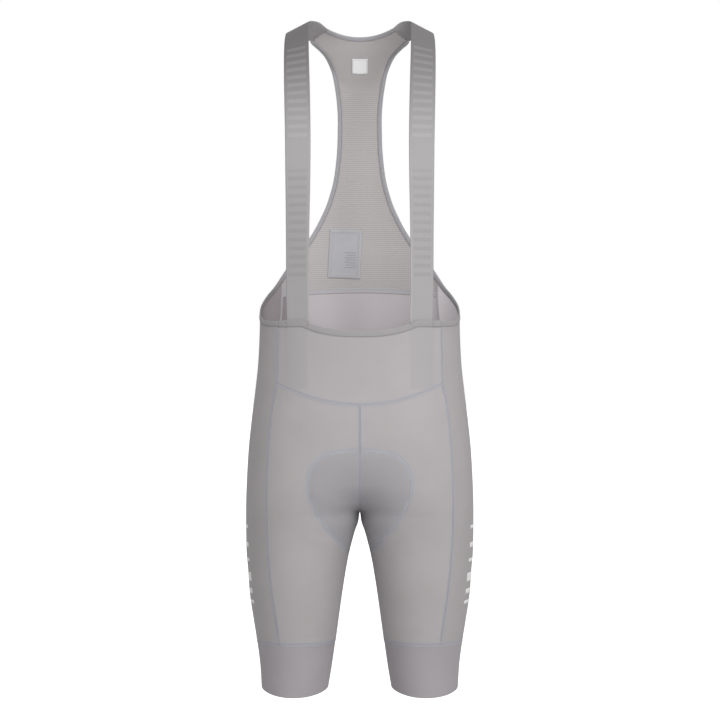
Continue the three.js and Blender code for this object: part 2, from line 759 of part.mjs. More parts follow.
// A flat patch on the inner face of the back, between two heights of its centre line
function makeBackPatch(name, { from, to, top, bottom, clear, wall, tilt = 0 }, material) {
  const rowAtHeight = (height) => {
    let low = 0;
    let high = BACK_LAST_ROW;
    for (let round = 0; round < 30; round++) {
      const middle = (low + high) / 2;
      if (onBack(0, middle).z > height) low = middle;
      else high = middle;
    }
    return low;
  };
  const rows = evenly(top, bottom, 6).concat(bottom);
  const outer = [];
  const inner = [];
  for (const height of rows) {
    const lines = [[], []];
    for (let c = 0; c <= 5; c++) {
      const x = lerp(from, to, c / 5) + tilt * (height - (top + bottom) / 2);
      const row = rowAtHeight(height - tilt * (x - (from + to) / 2));
      const reach = x / backAt(row)[0];
      lines[0].push(backPoint(reach, row, MESH_WALL + clear));
      lines[1].push(backPoint(reach, row, MESH_WALL + clear + wall));
    }
    outer.push(lines[0]);
    inner.push(lines[1]);
  }
  addMesh(name, wallBetween(outer, inner), material);
}

makeYoke();
makeFrontLegs();
makeSidePanels();
makeSeat();
makeGrippers();
makeBackMesh();
makeArmholeBindings();
makeNeckBinding();
makeFrontWaistBinding();
makeStraps();
makePad();
makeBackPatch("neck_label", LABEL, LABEL_FABRIC);
makeBackPatch("radio_pocket", POCKET, POCKET_FABRIC);

export default group;
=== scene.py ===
"""Cycling bib shorts, dressed in cloth over the CAD frame.

The shape code works in millimetres, as the part's source does, and a mesh is turned to metres when it is made.
+Z is up, the front faces -Y and the wearer's left is at +X.
"""

import logging
import math
from abc import ABC, abstractmethod
from dataclasses import dataclass, field
from enum import Enum
from typing import Callable, Sequence

import bpy
import numpy as np
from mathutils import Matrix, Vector


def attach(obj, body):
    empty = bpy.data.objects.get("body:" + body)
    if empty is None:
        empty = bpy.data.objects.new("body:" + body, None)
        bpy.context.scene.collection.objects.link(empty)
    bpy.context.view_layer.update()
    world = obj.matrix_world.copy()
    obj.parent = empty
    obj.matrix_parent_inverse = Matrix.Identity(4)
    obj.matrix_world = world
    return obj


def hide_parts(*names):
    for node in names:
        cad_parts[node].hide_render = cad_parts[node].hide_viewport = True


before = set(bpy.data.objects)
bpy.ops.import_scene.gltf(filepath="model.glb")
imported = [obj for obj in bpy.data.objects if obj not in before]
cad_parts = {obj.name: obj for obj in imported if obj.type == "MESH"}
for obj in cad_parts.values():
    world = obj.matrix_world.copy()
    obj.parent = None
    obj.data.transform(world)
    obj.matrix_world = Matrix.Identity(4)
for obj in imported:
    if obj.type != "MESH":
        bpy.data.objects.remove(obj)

Array = np.ndarray
Number = Array | float
Rule = Callable[[Array], Array]
Piece = bpy.types.Object
Socket = bpy.types.NodeSocket
Material = bpy.types.Material
Colour = tuple[float, float, float, float]

LOG = logging.getLogger("bib_shorts")
MM = 0.001
FLIP = np.array([-1.0, 1.0, 1.0])
CHUNK = 1500


class Side(Enum):
    """The two halves of the garment, by the wearer's own left and right."""

    LEFT = 1
    RIGHT = -1

    @property
    def word(self) -> str:
        """The side as node names write it."""
        return self.name.lower()

    @property
    def turn(self) -> Array:
        """What turns points of the left half into this side's."""
        return np.array([self.value, 1.0, 1.0])


class Face(Enum):
    """The front or the back of the body's section."""

    FRONT = "front"
    BACK = "back"


class StitchKind(Enum):
    """How the thread of a sewn row lies."""

    RUNNING = "running"
    COVER = "cover"


def lerp(start: Number, end: Number, share: Number) -> Number:
    """The value a share of the way from start to end."""
    return start + (end - start) * share


def smoothstep(value: Number, low: float, high: float) -> Number:
    """0 below low, 1 above high, and a soft rise between them."""
    t = np.clip((value - low) / (high - low), 0, 1)
    return t * t * (3 - 2 * t)


def bump(distance: Array, width: float) -> Array:
    """A round hump of height 1 at distance 0."""
    return np.exp(-((distance / width) ** 2))


def unit(vectors: Array) -> Array:
    """The vectors made one long."""
    return vectors / np.maximum(np.linalg.norm(vectors, axis=-1, keepdims=True), 1e-12)


def signed_power(value: Array, power: Number) -> Array:
    """A power that keeps the value's sign."""
    return np.sign(value) * np.abs(value) ** power


def run_along(line: Array) -> Array:
    """The length run along a line at each of its points."""
    return np.concatenate([[0], np.cumsum(np.linalg.norm(np.diff(line, axis=0), axis=1))])


def whole(half: Array) -> Array:
    """A grid over the left half, or a value of each of its points, continued over the right half."""
    return np.concatenate([half[:, :0:-1] * (FLIP if half.ndim == 3 else 1.0), half], axis=1)


def in_chunks(job: Callable[..., Array], *inputs: Number) -> Array:
    """Runs a job on a part of its inputs at a time, so that it takes little memory.

    Args:
        job: works on flat arrays and gives one value or point for each item.
        inputs: what it works on, in shapes that fit together.

    Returns:
        What the job gives, in the shape of the inputs.
    """
    shape = np.broadcast_shapes(*(np.shape(given) for given in inputs))
    flat = [np.broadcast_to(np.asarray(given, float), shape).ravel() for given in inputs]
    parts = [job(*(given[first : first + CHUNK] for given in flat)) for first in range(0, flat[0].size, CHUNK)]
    found = np.concatenate(parts)
    return found.reshape(*shape, *found.shape[1:])


def at_start(height: Array) -> Array:
    """The share of the way round at the centre front or the inseam."""
    return np.zeros(np.shape(height))


def at_end(height: Array) -> Array:
    """The share of the way round at the centre back."""
    return np.ones(np.shape(height))


class SmoothCurve:
    """A curve through pairs of place and value that never overshoots them."""

    def __init__(self, pairs: Sequence[Sequence[float]]) -> None:
        """Works out the slopes.

        Args:
            pairs: place and value, in any order of place.
        """
        known = np.array(sorted(pairs), float)
        self.places, self.values = known[:, 0], known[:, 1]
        runs = np.diff(self.places)
        rises = np.diff(self.values) / runs
        before, after = rises[:-1], rises[1:]
        one, two = runs[:-1] + 2 * runs[1:], 2 * runs[:-1] + runs[1:]
        same = before * after > 0
        below, above = np.where(same, before, 1.0), np.where(same, after, 1.0)
        middle = np.where(same, (one + two) / (one / below + two / above), 0.0)
        self.slopes = np.concatenate([rises[:1], middle, rises[-1:]])

    def __call__(self, place: Number) -> Array:
        """Reads the curve.

        Args:
            place: places along it.

        Returns:
            Its values there, flat past its ends.
        """
        place = np.asarray(place, float)
        at = np.clip(np.searchsorted(self.places, place, side="right") - 1, 0, len(self.places) - 2)
        run = self.places[at + 1] - self.places[at]
        t = np.clip((place - self.places[at]) / run, 0, 1)
        rest = 1 - t
        rise = self.values[at] * (1 + 2 * t) * rest**2 + self.slopes[at] * run * t * rest**2
        return rise + self.values[at + 1] * t**2 * (3 - 2 * t) - self.slopes[at + 1] * run * t**2 * rest


@dataclass
class WornForm:
    """The general figure that the shorts are cut for, ring by ring.

    A row gives the height, how far one leg's section reaches out and in from the centre plane, how softly the two
    legs join, the depth of front and back, and how square the section's corners are.
    """

    rows: tuple[tuple[float, ...], ...] = (
        (-300, 138.0, -138.0, 6, 103, 98, 2.35), (-372, 139.0, -138.0, 8, 101, 95, 2.35),
        (-430, 139.9, -136.5, 12, 98, 98, 2.35), (-472, 141.7, -132.5, 17, 101, 106, 2.33),
        (-514, 146.0, -122.0, 23, 106, 115, 2.3), (-556, 151.2, -102.0, 28, 110, 121, 2.28),
        (-598, 155.4, -70.0, 28, 111, 123, 2.25), (-640, 157.8, -26.0, 25, 107, 118, 2.22),
        (-668, 158.8, -5.0, 14, 101, 110, 2.19), (-684, 159.0, 2.0, 2, 97.3, 103.8, 2.17),
        (-696, 159.0, 3.1, 2, 94.9, 99.5, 2.16), (-710, 158.9, 7.5, 2, 92, 95.5, 2.15),
        (-738, 158.3, 15.3, 5, 87.5, 88.5, 2.12), (-766, 156.0, 20.5, 5, 83.5, 83.5, 2.1),
        (-794, 154.1, 24.8, 5, 79, 79, 2.08), (-836, 148.1, 30.6, 5, 71.5, 72, 2.05),
        (-865, 143.4, 34.5, 5, 67, 67, 2.04), (-900, 139.0, 39.5, 5, 63.5, 63.5, 2.03),
        (-934, 137.0, 45.2, 5, 61, 61, 2.02),
    )
    front_seam: tuple[tuple[float, float], ...] = (
        (-400, 111.0), (-427, 111.5), (-478, 112.5), (-504, 113.0), (-526, 117.5), (-565, 122.5),
        (-598, 125.0), (-644, 126.8), (-693, 127.0), (-730, 125.5), (-780, 121.5), (-817, 116.5),
        (-865, 110.0),
    )
    back_seam: tuple[tuple[float, float], ...] = (
        (-330, 112), (-372, 112), (-430, 115), (-520, 122), (-600, 128), (-690, 130), (-780, 124),
        (-865, 112),
    )
    side_edge: tuple[tuple[float, float], ...] = (
        (-90, -418.5), (-50, -418), (0, -402), (30, -387), (50, -372), (66, -357), (85, -339),
    )
    back_waist: float = -372.0
    back_waist_droop: float = 7.0
    side_hip: float = -503.5
    front_hip: float = -532.5
    crotch: float = -684.0
    leg_end: float = -861.8
    hem: float = -934.0
    steps: int = 480
    normal_step: float = 0.6

    def __post_init__(self) -> None:
        """Makes the curves through the tables."""
        names = ("outer", "inner", "blend", "front", "back", "square")
        heights = [row[0] for row in self.rows]
        curves = {n: SmoothCurve(list(zip(heights, [r[i + 1] for r in self.rows]))) for i, n in enumerate(names)}
        self.levels = np.arange(-960.0, -280.0, 0.5)
        self.table = {name: curve(self.levels) for name, curve in curves.items()}
        self.front_reach = SmoothCurve(self.front_seam)
        self.back_reach = SmoothCurve(self.back_seam)
        self.edge_height = SmoothCurve(self.side_edge)

    def sizes(self, height: Array) -> dict[str, Array]:
        """The section's sizes.

        Args:
            height: the heights wanted.

        Returns:
            Each size by name, with the centre and half-width of one leg.
        """
        at = {name: np.interp(height, self.levels, values) for name, values in self.table.items()}
        reach = np.hypot(at["outer"], at["blend"])
        at["centre"], at["half"] = (reach + at["inner"]) / 2, (reach - at["inner"]) / 2
        return at

    def rings(self, height: Array) -> tuple[Array, Array, Array, Array]:
        """The left half of the section at each height, from centre front or inseam round to the back.

        Args:
            height: a flat array of heights.

        Returns:
            x and y along each ring, the length run so far, and the angle at which each ring starts.
        """
        at = {name: value[:, None] for name, value in self.sizes(height).items()}
        clip = np.maximum(-1, (at["blend"] - at["centre"]) / at["half"])
        start = np.arcsin(signed_power(clip, at["square"] / 2))
        angle = lerp(start, math.pi - start, np.linspace(0, 1, self.steps + 1)[None, :])
        across = at["centre"] + at["half"] * signed_power(np.sin(angle), 2 / at["square"])
        along = signed_power(np.cos(angle), 2 / at["square"])
        x = np.sqrt(np.maximum(0, across**2 - at["blend"] ** 2))
        y = -along * np.where(along > 0, at["front"], at["back"])
        run = np.hypot(np.diff(x, axis=1), np.diff(y, axis=1))
        lengths = np.concatenate([np.zeros((len(height), 1)), np.cumsum(run, axis=1)], axis=1)
        return x, y, lengths, start[:, 0]

    def on_body(self, height: Number, share: Number) -> Array:
        """Finds points of the surface.

        Args:
            height: their heights.
            share: how far round the section they lie, from centre front or inseam to the back.

        Returns:
            The points, in the shape of the two inputs together.
        """

        def find(level: Array, part: Array) -> Array:
            """The points of one chunk."""
            x, y, lengths, _ = self.rings(level)
            wanted = np.clip(part, 0, 1) * lengths[:, -1]
            at = np.clip((lengths < wanted[:, None]).sum(axis=1), 1, self.steps)
            row = np.arange(len(at))
            run = np.maximum(lengths[row, at] - lengths[row, at - 1], 1e-12)
            t = (wanted - lengths[row, at - 1]) / run
            return np.stack([lerp(axis[row, at - 1], axis[row, at], t) for axis in (x, y)] + [level], axis=-1)

        return in_chunks(find, height, share)

    def share_at(self, height: Array, reach: Number, face: Face) -> Array:
        """Finds the share of the way round at which the section has a reach.

        Args:
            height: the heights wanted.
            reach: distances from the centre plane.
            face: whether the place is on the front or the back.

        Returns:
            The shares.
        """

        def find(level: Array, wanted: Array) -> Array:
            """The shares of one chunk."""
            at = self.sizes(level)
            _, _, lengths, start = self.rings(level)
            across = np.clip((np.hypot(wanted, at["blend"]) - at["centre"]) / at["half"], -1, 1)
            angle = np.arcsin(signed_power(across, at["square"] / 2))
            if face is Face.BACK:
                angle = math.pi - angle
            place = np.clip((angle - start) / (math.pi - 2 * start), 0, 1) * self.steps
            low = np.minimum(place.astype(int), self.steps - 1)
            row = np.arange(len(low))
            return lerp(lengths[row, low], lengths[row, low + 1], place - low) / lengths[:, -1]

        return in_chunks(find, height, reach)

    def total(self, height: Array) -> Array:
        """The length of the half section at these heights."""
        return in_chunks(lambda level: self.rings(level)[2][:, -1], height)

    def outsideness(self, points: Array) -> Array:
        """Tells the inside of the body from the outside.

        Args:
            points: places near the body.

        Returns:
            Values under 1 inside it and over 1 outside it.
        """
        at = self.sizes(points[..., 2])
        across = (np.hypot(points[..., 0], at["blend"]) - at["centre"]) / at["half"]
        along = points[..., 1] / np.where(points[..., 1] < 0, at["front"], at["back"])
        return np.abs(across) ** at["square"] + np.abs(along) ** at["square"]

    def normal(self, points: Array) -> Array:
        """The way out of the body at these points."""
        step = self.normal_step
        ways = [self.outsideness(points + step * axis) - self.outsideness(points - step * axis) for axis in np.eye(3)]
        return unit(np.stack(ways, axis=-1))

    def front_share(self, height: Array) -> Array:
        """The share of the way round at the side panel's front seam."""
        return self.share_at(height, self.front_reach(height), Face.FRONT)

    def back_share(self, height: Array) -> Array:
        """The share of the way round at the side panel's back seam."""
        return self.share_at(height, self.back_reach(height), Face.BACK)

    def waist_edge(self, points: Array) -> Array:
        """Height of the finished front waist, over these points."""
        return -418 - 14 * np.maximum(0, 1 - (np.abs(points[..., 0]) / 78) ** 2.6)

    def hip_seam(self, points: Array) -> Array:
        """Height of the curved seam under the yoke."""
        return self.front_hip + (self.side_hip - self.front_hip) * (np.abs(points[..., 0]) / 113) ** 2

    def waist_seam(self, points: Array) -> Array:
        """Height of the seam between the seat and the mesh back."""
        return self.back_waist - self.back_waist_droop * (np.abs(points[..., 0]) / 112) ** 2

    def side_top(self, points: Array) -> Array:
        """Height of the finished edge over the side."""
        return self.edge_height(points[..., 1])

    def settle(self, share: Array, start: Rule, end: Rule, rule: Rule, first: float) -> Array:
        """Heights at which columns of a panel cross a curved line.

        Args:
            share: how far across the panel each column is.
            start: the panel's first edge, as a share of the way round.
            end: its last edge.
            rule: gives the line's height at a point.
            first: a height to start from.

        Returns:
            One height a column.
        """
        height = np.full(np.shape(share), float(first))
        for _ in range(12):
            height = rule(self.on_body(height, lerp(start(height), end(height), share)))
        return height


@dataclass
class BackForm:
    """The open back with its narrow racer shape, row by row from the neck.

    A row gives the edge's reach, depth and height, and the centre's depth and height.
    """

    body: WornForm
    rows: tuple[tuple[float, ...], ...] = (
        (45, 8, -7, 35, -14.5), (57.5, 18, -14, 43, -25), (70, 28, -21.5, 51, -36), (59.5, 43, -30, 59, -47),
        (52, 52, -36.5, 65.5, -57), (46, 61, -45, 72, -68), (40.8, 71, -57, 79, -81),
        (36.2, 80, -78, 85.5, -97), (33, 89, -102, 91, -113), (31.8, 94, -125, 95, -131),
        (32.5, 98, -160, 99.5, -162), (36.5, 100, -203, 102, -203), (45.7, 100, -240.5, 103, -240),
        (58, 97.5, -269.5, 102.5, -268), (74, 91, -298, 101, -295), (96, 81, -330, 97, -325),
        (108, 74, -345, 95.5, -345), (112, 68, -364.5, 95, -358), (112, 66, -379, 95, -372),
    )
    corner: int = 2
    seam: int = 17
    worn_from: float = -300.0
    worn_to: float = -350.0

    def __post_init__(self) -> None:
        """Makes the curves through the rows."""
        self.last = len(self.rows) - 1
        self.table = np.array(self.rows, float)
        self.curves = [SmoothCurve(list(enumerate(column))) for column in self.table.T]

    def sizes(self, row: Array) -> list[Array]:
        """The back's sizes.

        Args:
            row: the rows wanted.

        Returns:
            The edge's reach, depth and height, and the centre's depth and height.
        """
        row = np.asarray(row, float)
        low = np.clip(np.floor(row).astype(int), 0, self.corner - 1)
        t = row - low
        straight = [lerp(column[low], column[low + 1], t) for column in self.table.T]
        return [np.where(row >= self.corner, curve(row), s) for curve, s in zip(self.curves, straight)]

    def on_back(self, reach: Number, row: Number) -> Array:
        """Finds points of the back.

        Args:
            reach: from -1 at one edge to 1 at the other.
            row: the row, from the neck down.

        Returns:
            The points.
        """
        reach, row = np.broadcast_arrays(np.asarray(reach, float), np.asarray(row, float))
        edge_x, edge_y, edge_z, centre_y, centre_z = self.sizes(row)
        x = edge_x * reach
        z = lerp(centre_z, edge_z, reach * reach)
        free = lerp(centre_y, edge_y, np.abs(reach) ** 2.3)
        settled = 1 - smoothstep(z, self.worn_to, self.worn_from)
        at = self.body.sizes(z)
        across = np.abs((np.hypot(x, at["blend"]) - at["centre"]) / at["half"])
        worn = at["back"] * np.maximum(0, 1 - across ** at["square"]) ** (1 / at["square"])
        return np.stack([x, lerp(free, worn, settled), z], axis=-1)

    def normal(self, reach: Number, row: Number) -> Array:
        """The way out of the back, away from the wearer.

        Args:
            reach: from -1 at one edge to 1 at the other.
            row: the row, from the neck down.

        Returns:
            One unit vector a place.
        """
        reach, row = np.broadcast_arrays(np.asarray(reach, float), np.asarray(row, float))
        step = 0.02
        a, b = np.clip(reach, -1 + step, 1 - step), np.clip(row, step, self.last - step)
        across = self.on_back(a + step, b) - self.on_back(a - step, b)
        down = self.on_back(a, b + step) - self.on_back(a, b - step)
        return unit(np.cross(across, down))

    def at(self, reach: Number, row: Number, lift: float = 0.0) -> Array:
        """Points of the back moved out by lift, or in where lift is below 0."""
        return self.on_back(reach, row) + self.normal(reach, row) * lift

    def reach_for(self, distance: Number, row: Array) -> Array:
        """How much reach a distance over the cloth is."""
        return distance / np.linalg.norm(self.on_back(1.0, row) - self.on_back(0.0, row), axis=-1)

    def row_below(self, reach: Array, row: float, distance: float) -> Array:
        """The row that lies a distance over the cloth below another.

        Args:
            reach: the places across the back.
            row: the upper row.
            distance: how far below it the row lies.

        Returns:
            One row a place.
        """
        start = self.on_back(reach, row)
        low, high = np.full(np.shape(reach), float(row)), np.full(np.shape(reach), row + 3.0)
        for _ in range(22):
            middle = (low + high) / 2
            near = np.linalg.norm(self.on_back(reach, middle) - start, axis=-1) < distance
            low, high = np.where(near, middle, low), np.where(near, high, middle)
        return low

    def row_at(self, height: Array) -> Array:
        """The row whose centre has this height.

        Args:
            height: the heights wanted.

        Returns:
            The rows.
        """
        low, high = np.zeros(np.shape(height)), np.full(np.shape(height), float(self.last))
        for _ in range(26):
            middle = (low + high) / 2
            above = self.on_back(0.0, middle)[..., 2] > height
            low, high = np.where(above, middle, low), np.where(above, high, middle)
        return low


@dataclass
class SewnLine:
    """A line on the cloth with the way out of the cloth at each point, in millimetres."""

    points: Array
    outs: Array

    @property
    def alongs(self) -> Array:
        """The line's own way at each point."""
        return unit(np.gradient(self.points, axis=0))

    def shifted(self, across: float, lift: float) -> "SewnLine":
        """The line moved sideways over the cloth and off it."""
        sideways = unit(np.cross(self.alongs, self.outs))
        return SewnLine(self.points + sideways * across + self.outs * lift, self.outs)

    def mirrored(self) -> "SewnLine":
        """The same line on the other half."""
        return SewnLine(self.points * FLIP, self.outs * FLIP)

    def both(self) -> list["SewnLine"]:
        """This line and its mirror."""
        return [self, self.mirrored()]

    def spaced(self, pitch: float) -> "SewnLine":
        """The line with its points evenly spaced.

        Args:
            pitch: how far apart they are.

        Returns:
            The new line.
        """
        run = run_along(self.points)
        places = np.linspace(0, run[-1], max(3, int(round(run[-1] / pitch)) + 1))
        points, outs = (
            np.stack([np.interp(places, run, axis) for axis in kept.T], axis=1) for kept in (self.points, self.outs)
        )
        return SewnLine(points, unit(outs))

    def zigzag(self, half: float, pitch: float, lift: float) -> "SewnLine":
        """A thread that crosses the line from side to side.

        Args:
            half: how far it goes to each side.
            pitch: how far along the line each crossing takes it.
            lift: how far off the cloth it lies.

        Returns:
            The thread's own line.
        """
        line = self.spaced(pitch)
        sideways = unit(np.cross(line.alongs, line.outs))
        turns = np.where(np.arange(len(line.points)) % 2 == 0, half, -half)[:, None]
        return SewnLine(line.points + sideways * turns + line.outs * lift, line.outs)


@dataclass
class Crease:
    """A soft fold in the worn cloth, seen from the front or the back: its ends, half-width and height."""

    face: Face
    start: tuple[float, float]
    end: tuple[float, float]
    width: float
    height: float
    facing: tuple[float, float] = (2.0, 25.0)

    def lift(self, points: Array) -> Array:
        """How far the fold lifts the cloth.

        Args:
            points: places on the cloth.

        Returns:
            The lift at each, below 0 in the valleys beside the fold.
        """
        line = np.array(self.end, float) - np.array(self.start, float)
        seen = points[..., [0, 2]] - np.array(self.start, float)
        along = (seen @ line) / (line @ line)
        near = np.clip(along, 0, 1)
        away = np.linalg.norm(seen - near[..., None] * line, axis=-1)
        facing = -points[..., 1] if self.face is Face.FRONT else points[..., 1]
        taper = np.sin(math.pi * np.clip(along, 0, 1)) ** 0.8
        valley = 0.45 * bump(away - 2.2 * self.width, 1.3 * self.width)
        return self.height * (bump(away, self.width) - valley) * taper * smoothstep(facing, *self.facing)


CREASE_ROWS: dict[Face, tuple[tuple[float, ...], ...]] = {
    Face.FRONT: (
        (12, -676, 66, -640, 7, 0.44), (-14, -678, -70, -646, 8, 0.39), (20, -722, 78, -704, 6, 0.33),
        (-22, -730, -84, -708, 6, 0.39), (104, -536, 62, -560, 8, 0.28), (-106, -540, -66, -566, 8, 0.28),
        (40, -842, 96, -834, 5, 0.28), (-44, -838, -92, -846, 5, 0.28),
    ),
    Face.BACK: (
        (10, -664, 80, -628, 8, 1.0), (-10, -668, -84, -636, 8, 0.9), (24, -716, 92, -694, 7, 0.9),
        (-26, -722, -96, -702, 7, 0.8), (30, -752, 84, -744, 6, 0.6), (-34, -758, -80, -746, 6, 0.6),
        (60, -396, 104, -420, 7, 0.6), (-62, -392, -102, -414, 7, 0.6), (-40, -846, -100, -838, 5, 0.5),
        (42, -840, 98, -846, 5, 0.5),
    ),
}
CREASES = [Crease(face, row[:2], row[2:4], *row[4:]) for face, rows in CREASE_ROWS.items() for row in rows]


def creased(points: Array) -> Array:
    """How far all the folds together lift the cloth at these points."""
    return sum(crease.lift(points) for crease in CREASES)


@dataclass
class PadOutline:
    """The riding pad's edge: angle about its centre from straight down, negative to the front, and half-width."""

    body: WornForm
    rows: tuple[tuple[float, float], ...] = (
        (-93.4, 10), (-93.1, 21), (-92.3, 34), (-89.7, 48.8), (-84.4, 61), (-77.4, 68.5), (-69.5, 71.1),
        (-61.2, 70.3), (-52.7, 66), (-43.5, 61.6), (-33.8, 59.3), (-24.1, 58.1), (-10, 57.5), (5, 57),
        (25, 58.5), (45, 66), (62, 78), (78, 84), (90, 76), (97, 58), (100, 42), (102, 26), (103, 10),
    )
    centre: float = -600.0
    last_x: int = 112

    def __post_init__(self) -> None:
        """Finds the outline on the body's surface."""
        self.half_width = SmoothCurve(self.rows)
        self.angles = np.linspace(self.rows[0][0], self.rows[-1][0], 118)
        self.grid = self.seen_from_centre(np.arange(0, self.last_x + 1.0), self.angles)
        run = np.linalg.norm(np.diff(self.grid, axis=1), axis=-1)
        self.runs = np.concatenate([np.zeros((len(self.angles), 1)), np.cumsum(run, axis=1)], axis=1)
        edge = self.across(np.ones((len(self.angles), 1)))[:, 0]
        self.edge_x = edge[:, 0]
        front = self.end_line(0)
        back = self.end_line(-1)
        self.rim = np.concatenate([front[::-1], edge, back, edge[::-1] * (-1, 1, 1)])

    def seen_from_centre(self, x: Array, angles: Array) -> Array:
        """The body's surface along rays from the pad's centre line.

        Args:
            x: distances from the centre plane.
            angles: degrees from straight down.

        Returns:
            Points by angle and x.
        """
        turn = np.radians(angles)[:, None]
        ways = np.stack([np.zeros_like(turn), np.sin(turn), -np.cos(turn)], axis=-1)
        starts = np.stack([x, np.zeros_like(x), np.full_like(x, self.centre)], axis=-1)[None]
        low = np.zeros((len(angles), len(x), 1))
        found = np.zeros_like(low, bool)
        for distance in np.arange(5.0, 261.0, 5.0):
            out = self.body.outsideness(starts + ways * distance)[..., None] > 1
            low = np.where(found | out, low, distance)
            found |= out
        high = low + 5
        for _ in range(14):
            middle = (low + high) / 2
            out = self.body.outsideness(starts + ways * middle)[..., None] > 1
            low, high = np.where(out, low, middle), np.where(out, middle, high)
        return starts + ways * low

    def across(self, shares: Array) -> Array:
        """Finds points of the body under the pad.

        Args:
            shares: shares of the half-width, by angle.

        Returns:
            The points, in the same order.
        """
        wanted = shares * self.half_width(self.angles)[:, None]
        found = np.empty((*wanted.shape, 3))
        for row, (run, line) in enumerate(zip(self.runs, self.grid)):
            for axis in range(3):
                found[row, :, axis] = np.interp(wanted[row], run, line[:, axis])
        return found

    def end_line(self, row: int) -> Array:
        """The pad's edge at its first or last angle, from the right side to the left."""
        half = self.across(np.tile(np.linspace(0, 1, 24), (len(self.angles), 1)))[row]
        line = np.concatenate([half[::-1] * (-1, 1, 1), half[1:]])
        return line if row == 0 else line[::-1]

    def depth_inside(self, points: Array) -> Array:
        """How far inside the outline points of the body are.

        Args:
            points: places on the body.

        Returns:
            Distances to the outline, below 0 outside it.
        """
        flat = points.reshape(-1, 3)
        angle = np.degrees(np.arctan2(flat[:, 1], -(flat[:, 2] - self.centre)))
        away = np.full(len(flat), 60.0)
        near = (angle > self.angles[0] - 20) & (angle < self.angles[-1] + 20) & (np.abs(flat[:, 0]) < 130)
        rim = SewnLine(self.rim, self.rim).spaced(1.5).points
        for which in np.array_split(np.flatnonzero(near), 1 + int(near.sum()) // CHUNK):
            gaps = np.linalg.norm(flat[which, None] - rim[None], axis=-1)
            away[which] = gaps.min(axis=1)
        inside = np.abs(flat[:, 0]) < np.interp(angle, self.angles, self.edge_x)
        inside &= (angle > self.angles[0]) & (angle < self.angles[-1])
        return np.where(inside, away, -away).reshape(points.shape[:-1])

    def line(self) -> SewnLine:
        """The whole outline as a sewn line on the outside of the cloth."""
        points = np.concatenate([self.rim, self.rim[:2]])
        line = SewnLine(points, self.body.normal(points)).spaced(1.5)
        return SewnLine(line.points, self.body.normal(line.points))


def srgb(code: str) -> Colour:
    """A colour written as six hexadecimal digits, in the linear values that shaders take."""
    parts = [int(code[i : i + 2], 16) / 255 for i in (0, 2, 4)]
    linear = [c / 12.92 if c <= 0.04045 else ((c + 0.055) / 1.055) ** 2.4 for c in parts]
    return (*linear, 1.0)


def shaded(colour: Colour, share: float) -> Colour:
    """The colour made darker, or lighter where share is over 1."""
    return (*(c * share for c in colour[:3]), 1.0)


def feed(tree: bpy.types.NodeTree, source: object, target: Socket) -> None:
    """Feeds a socket with a link or a value."""
    if isinstance(source, Socket):
        tree.links.new(source, target)
    else:
        target.default_value = source


def placed(name: str, data: bpy.types.ID) -> Piece:
    """A new object in the scene."""
    made = bpy.data.objects.new(name, data)
    bpy.context.scene.collection.objects.link(made)
    return made


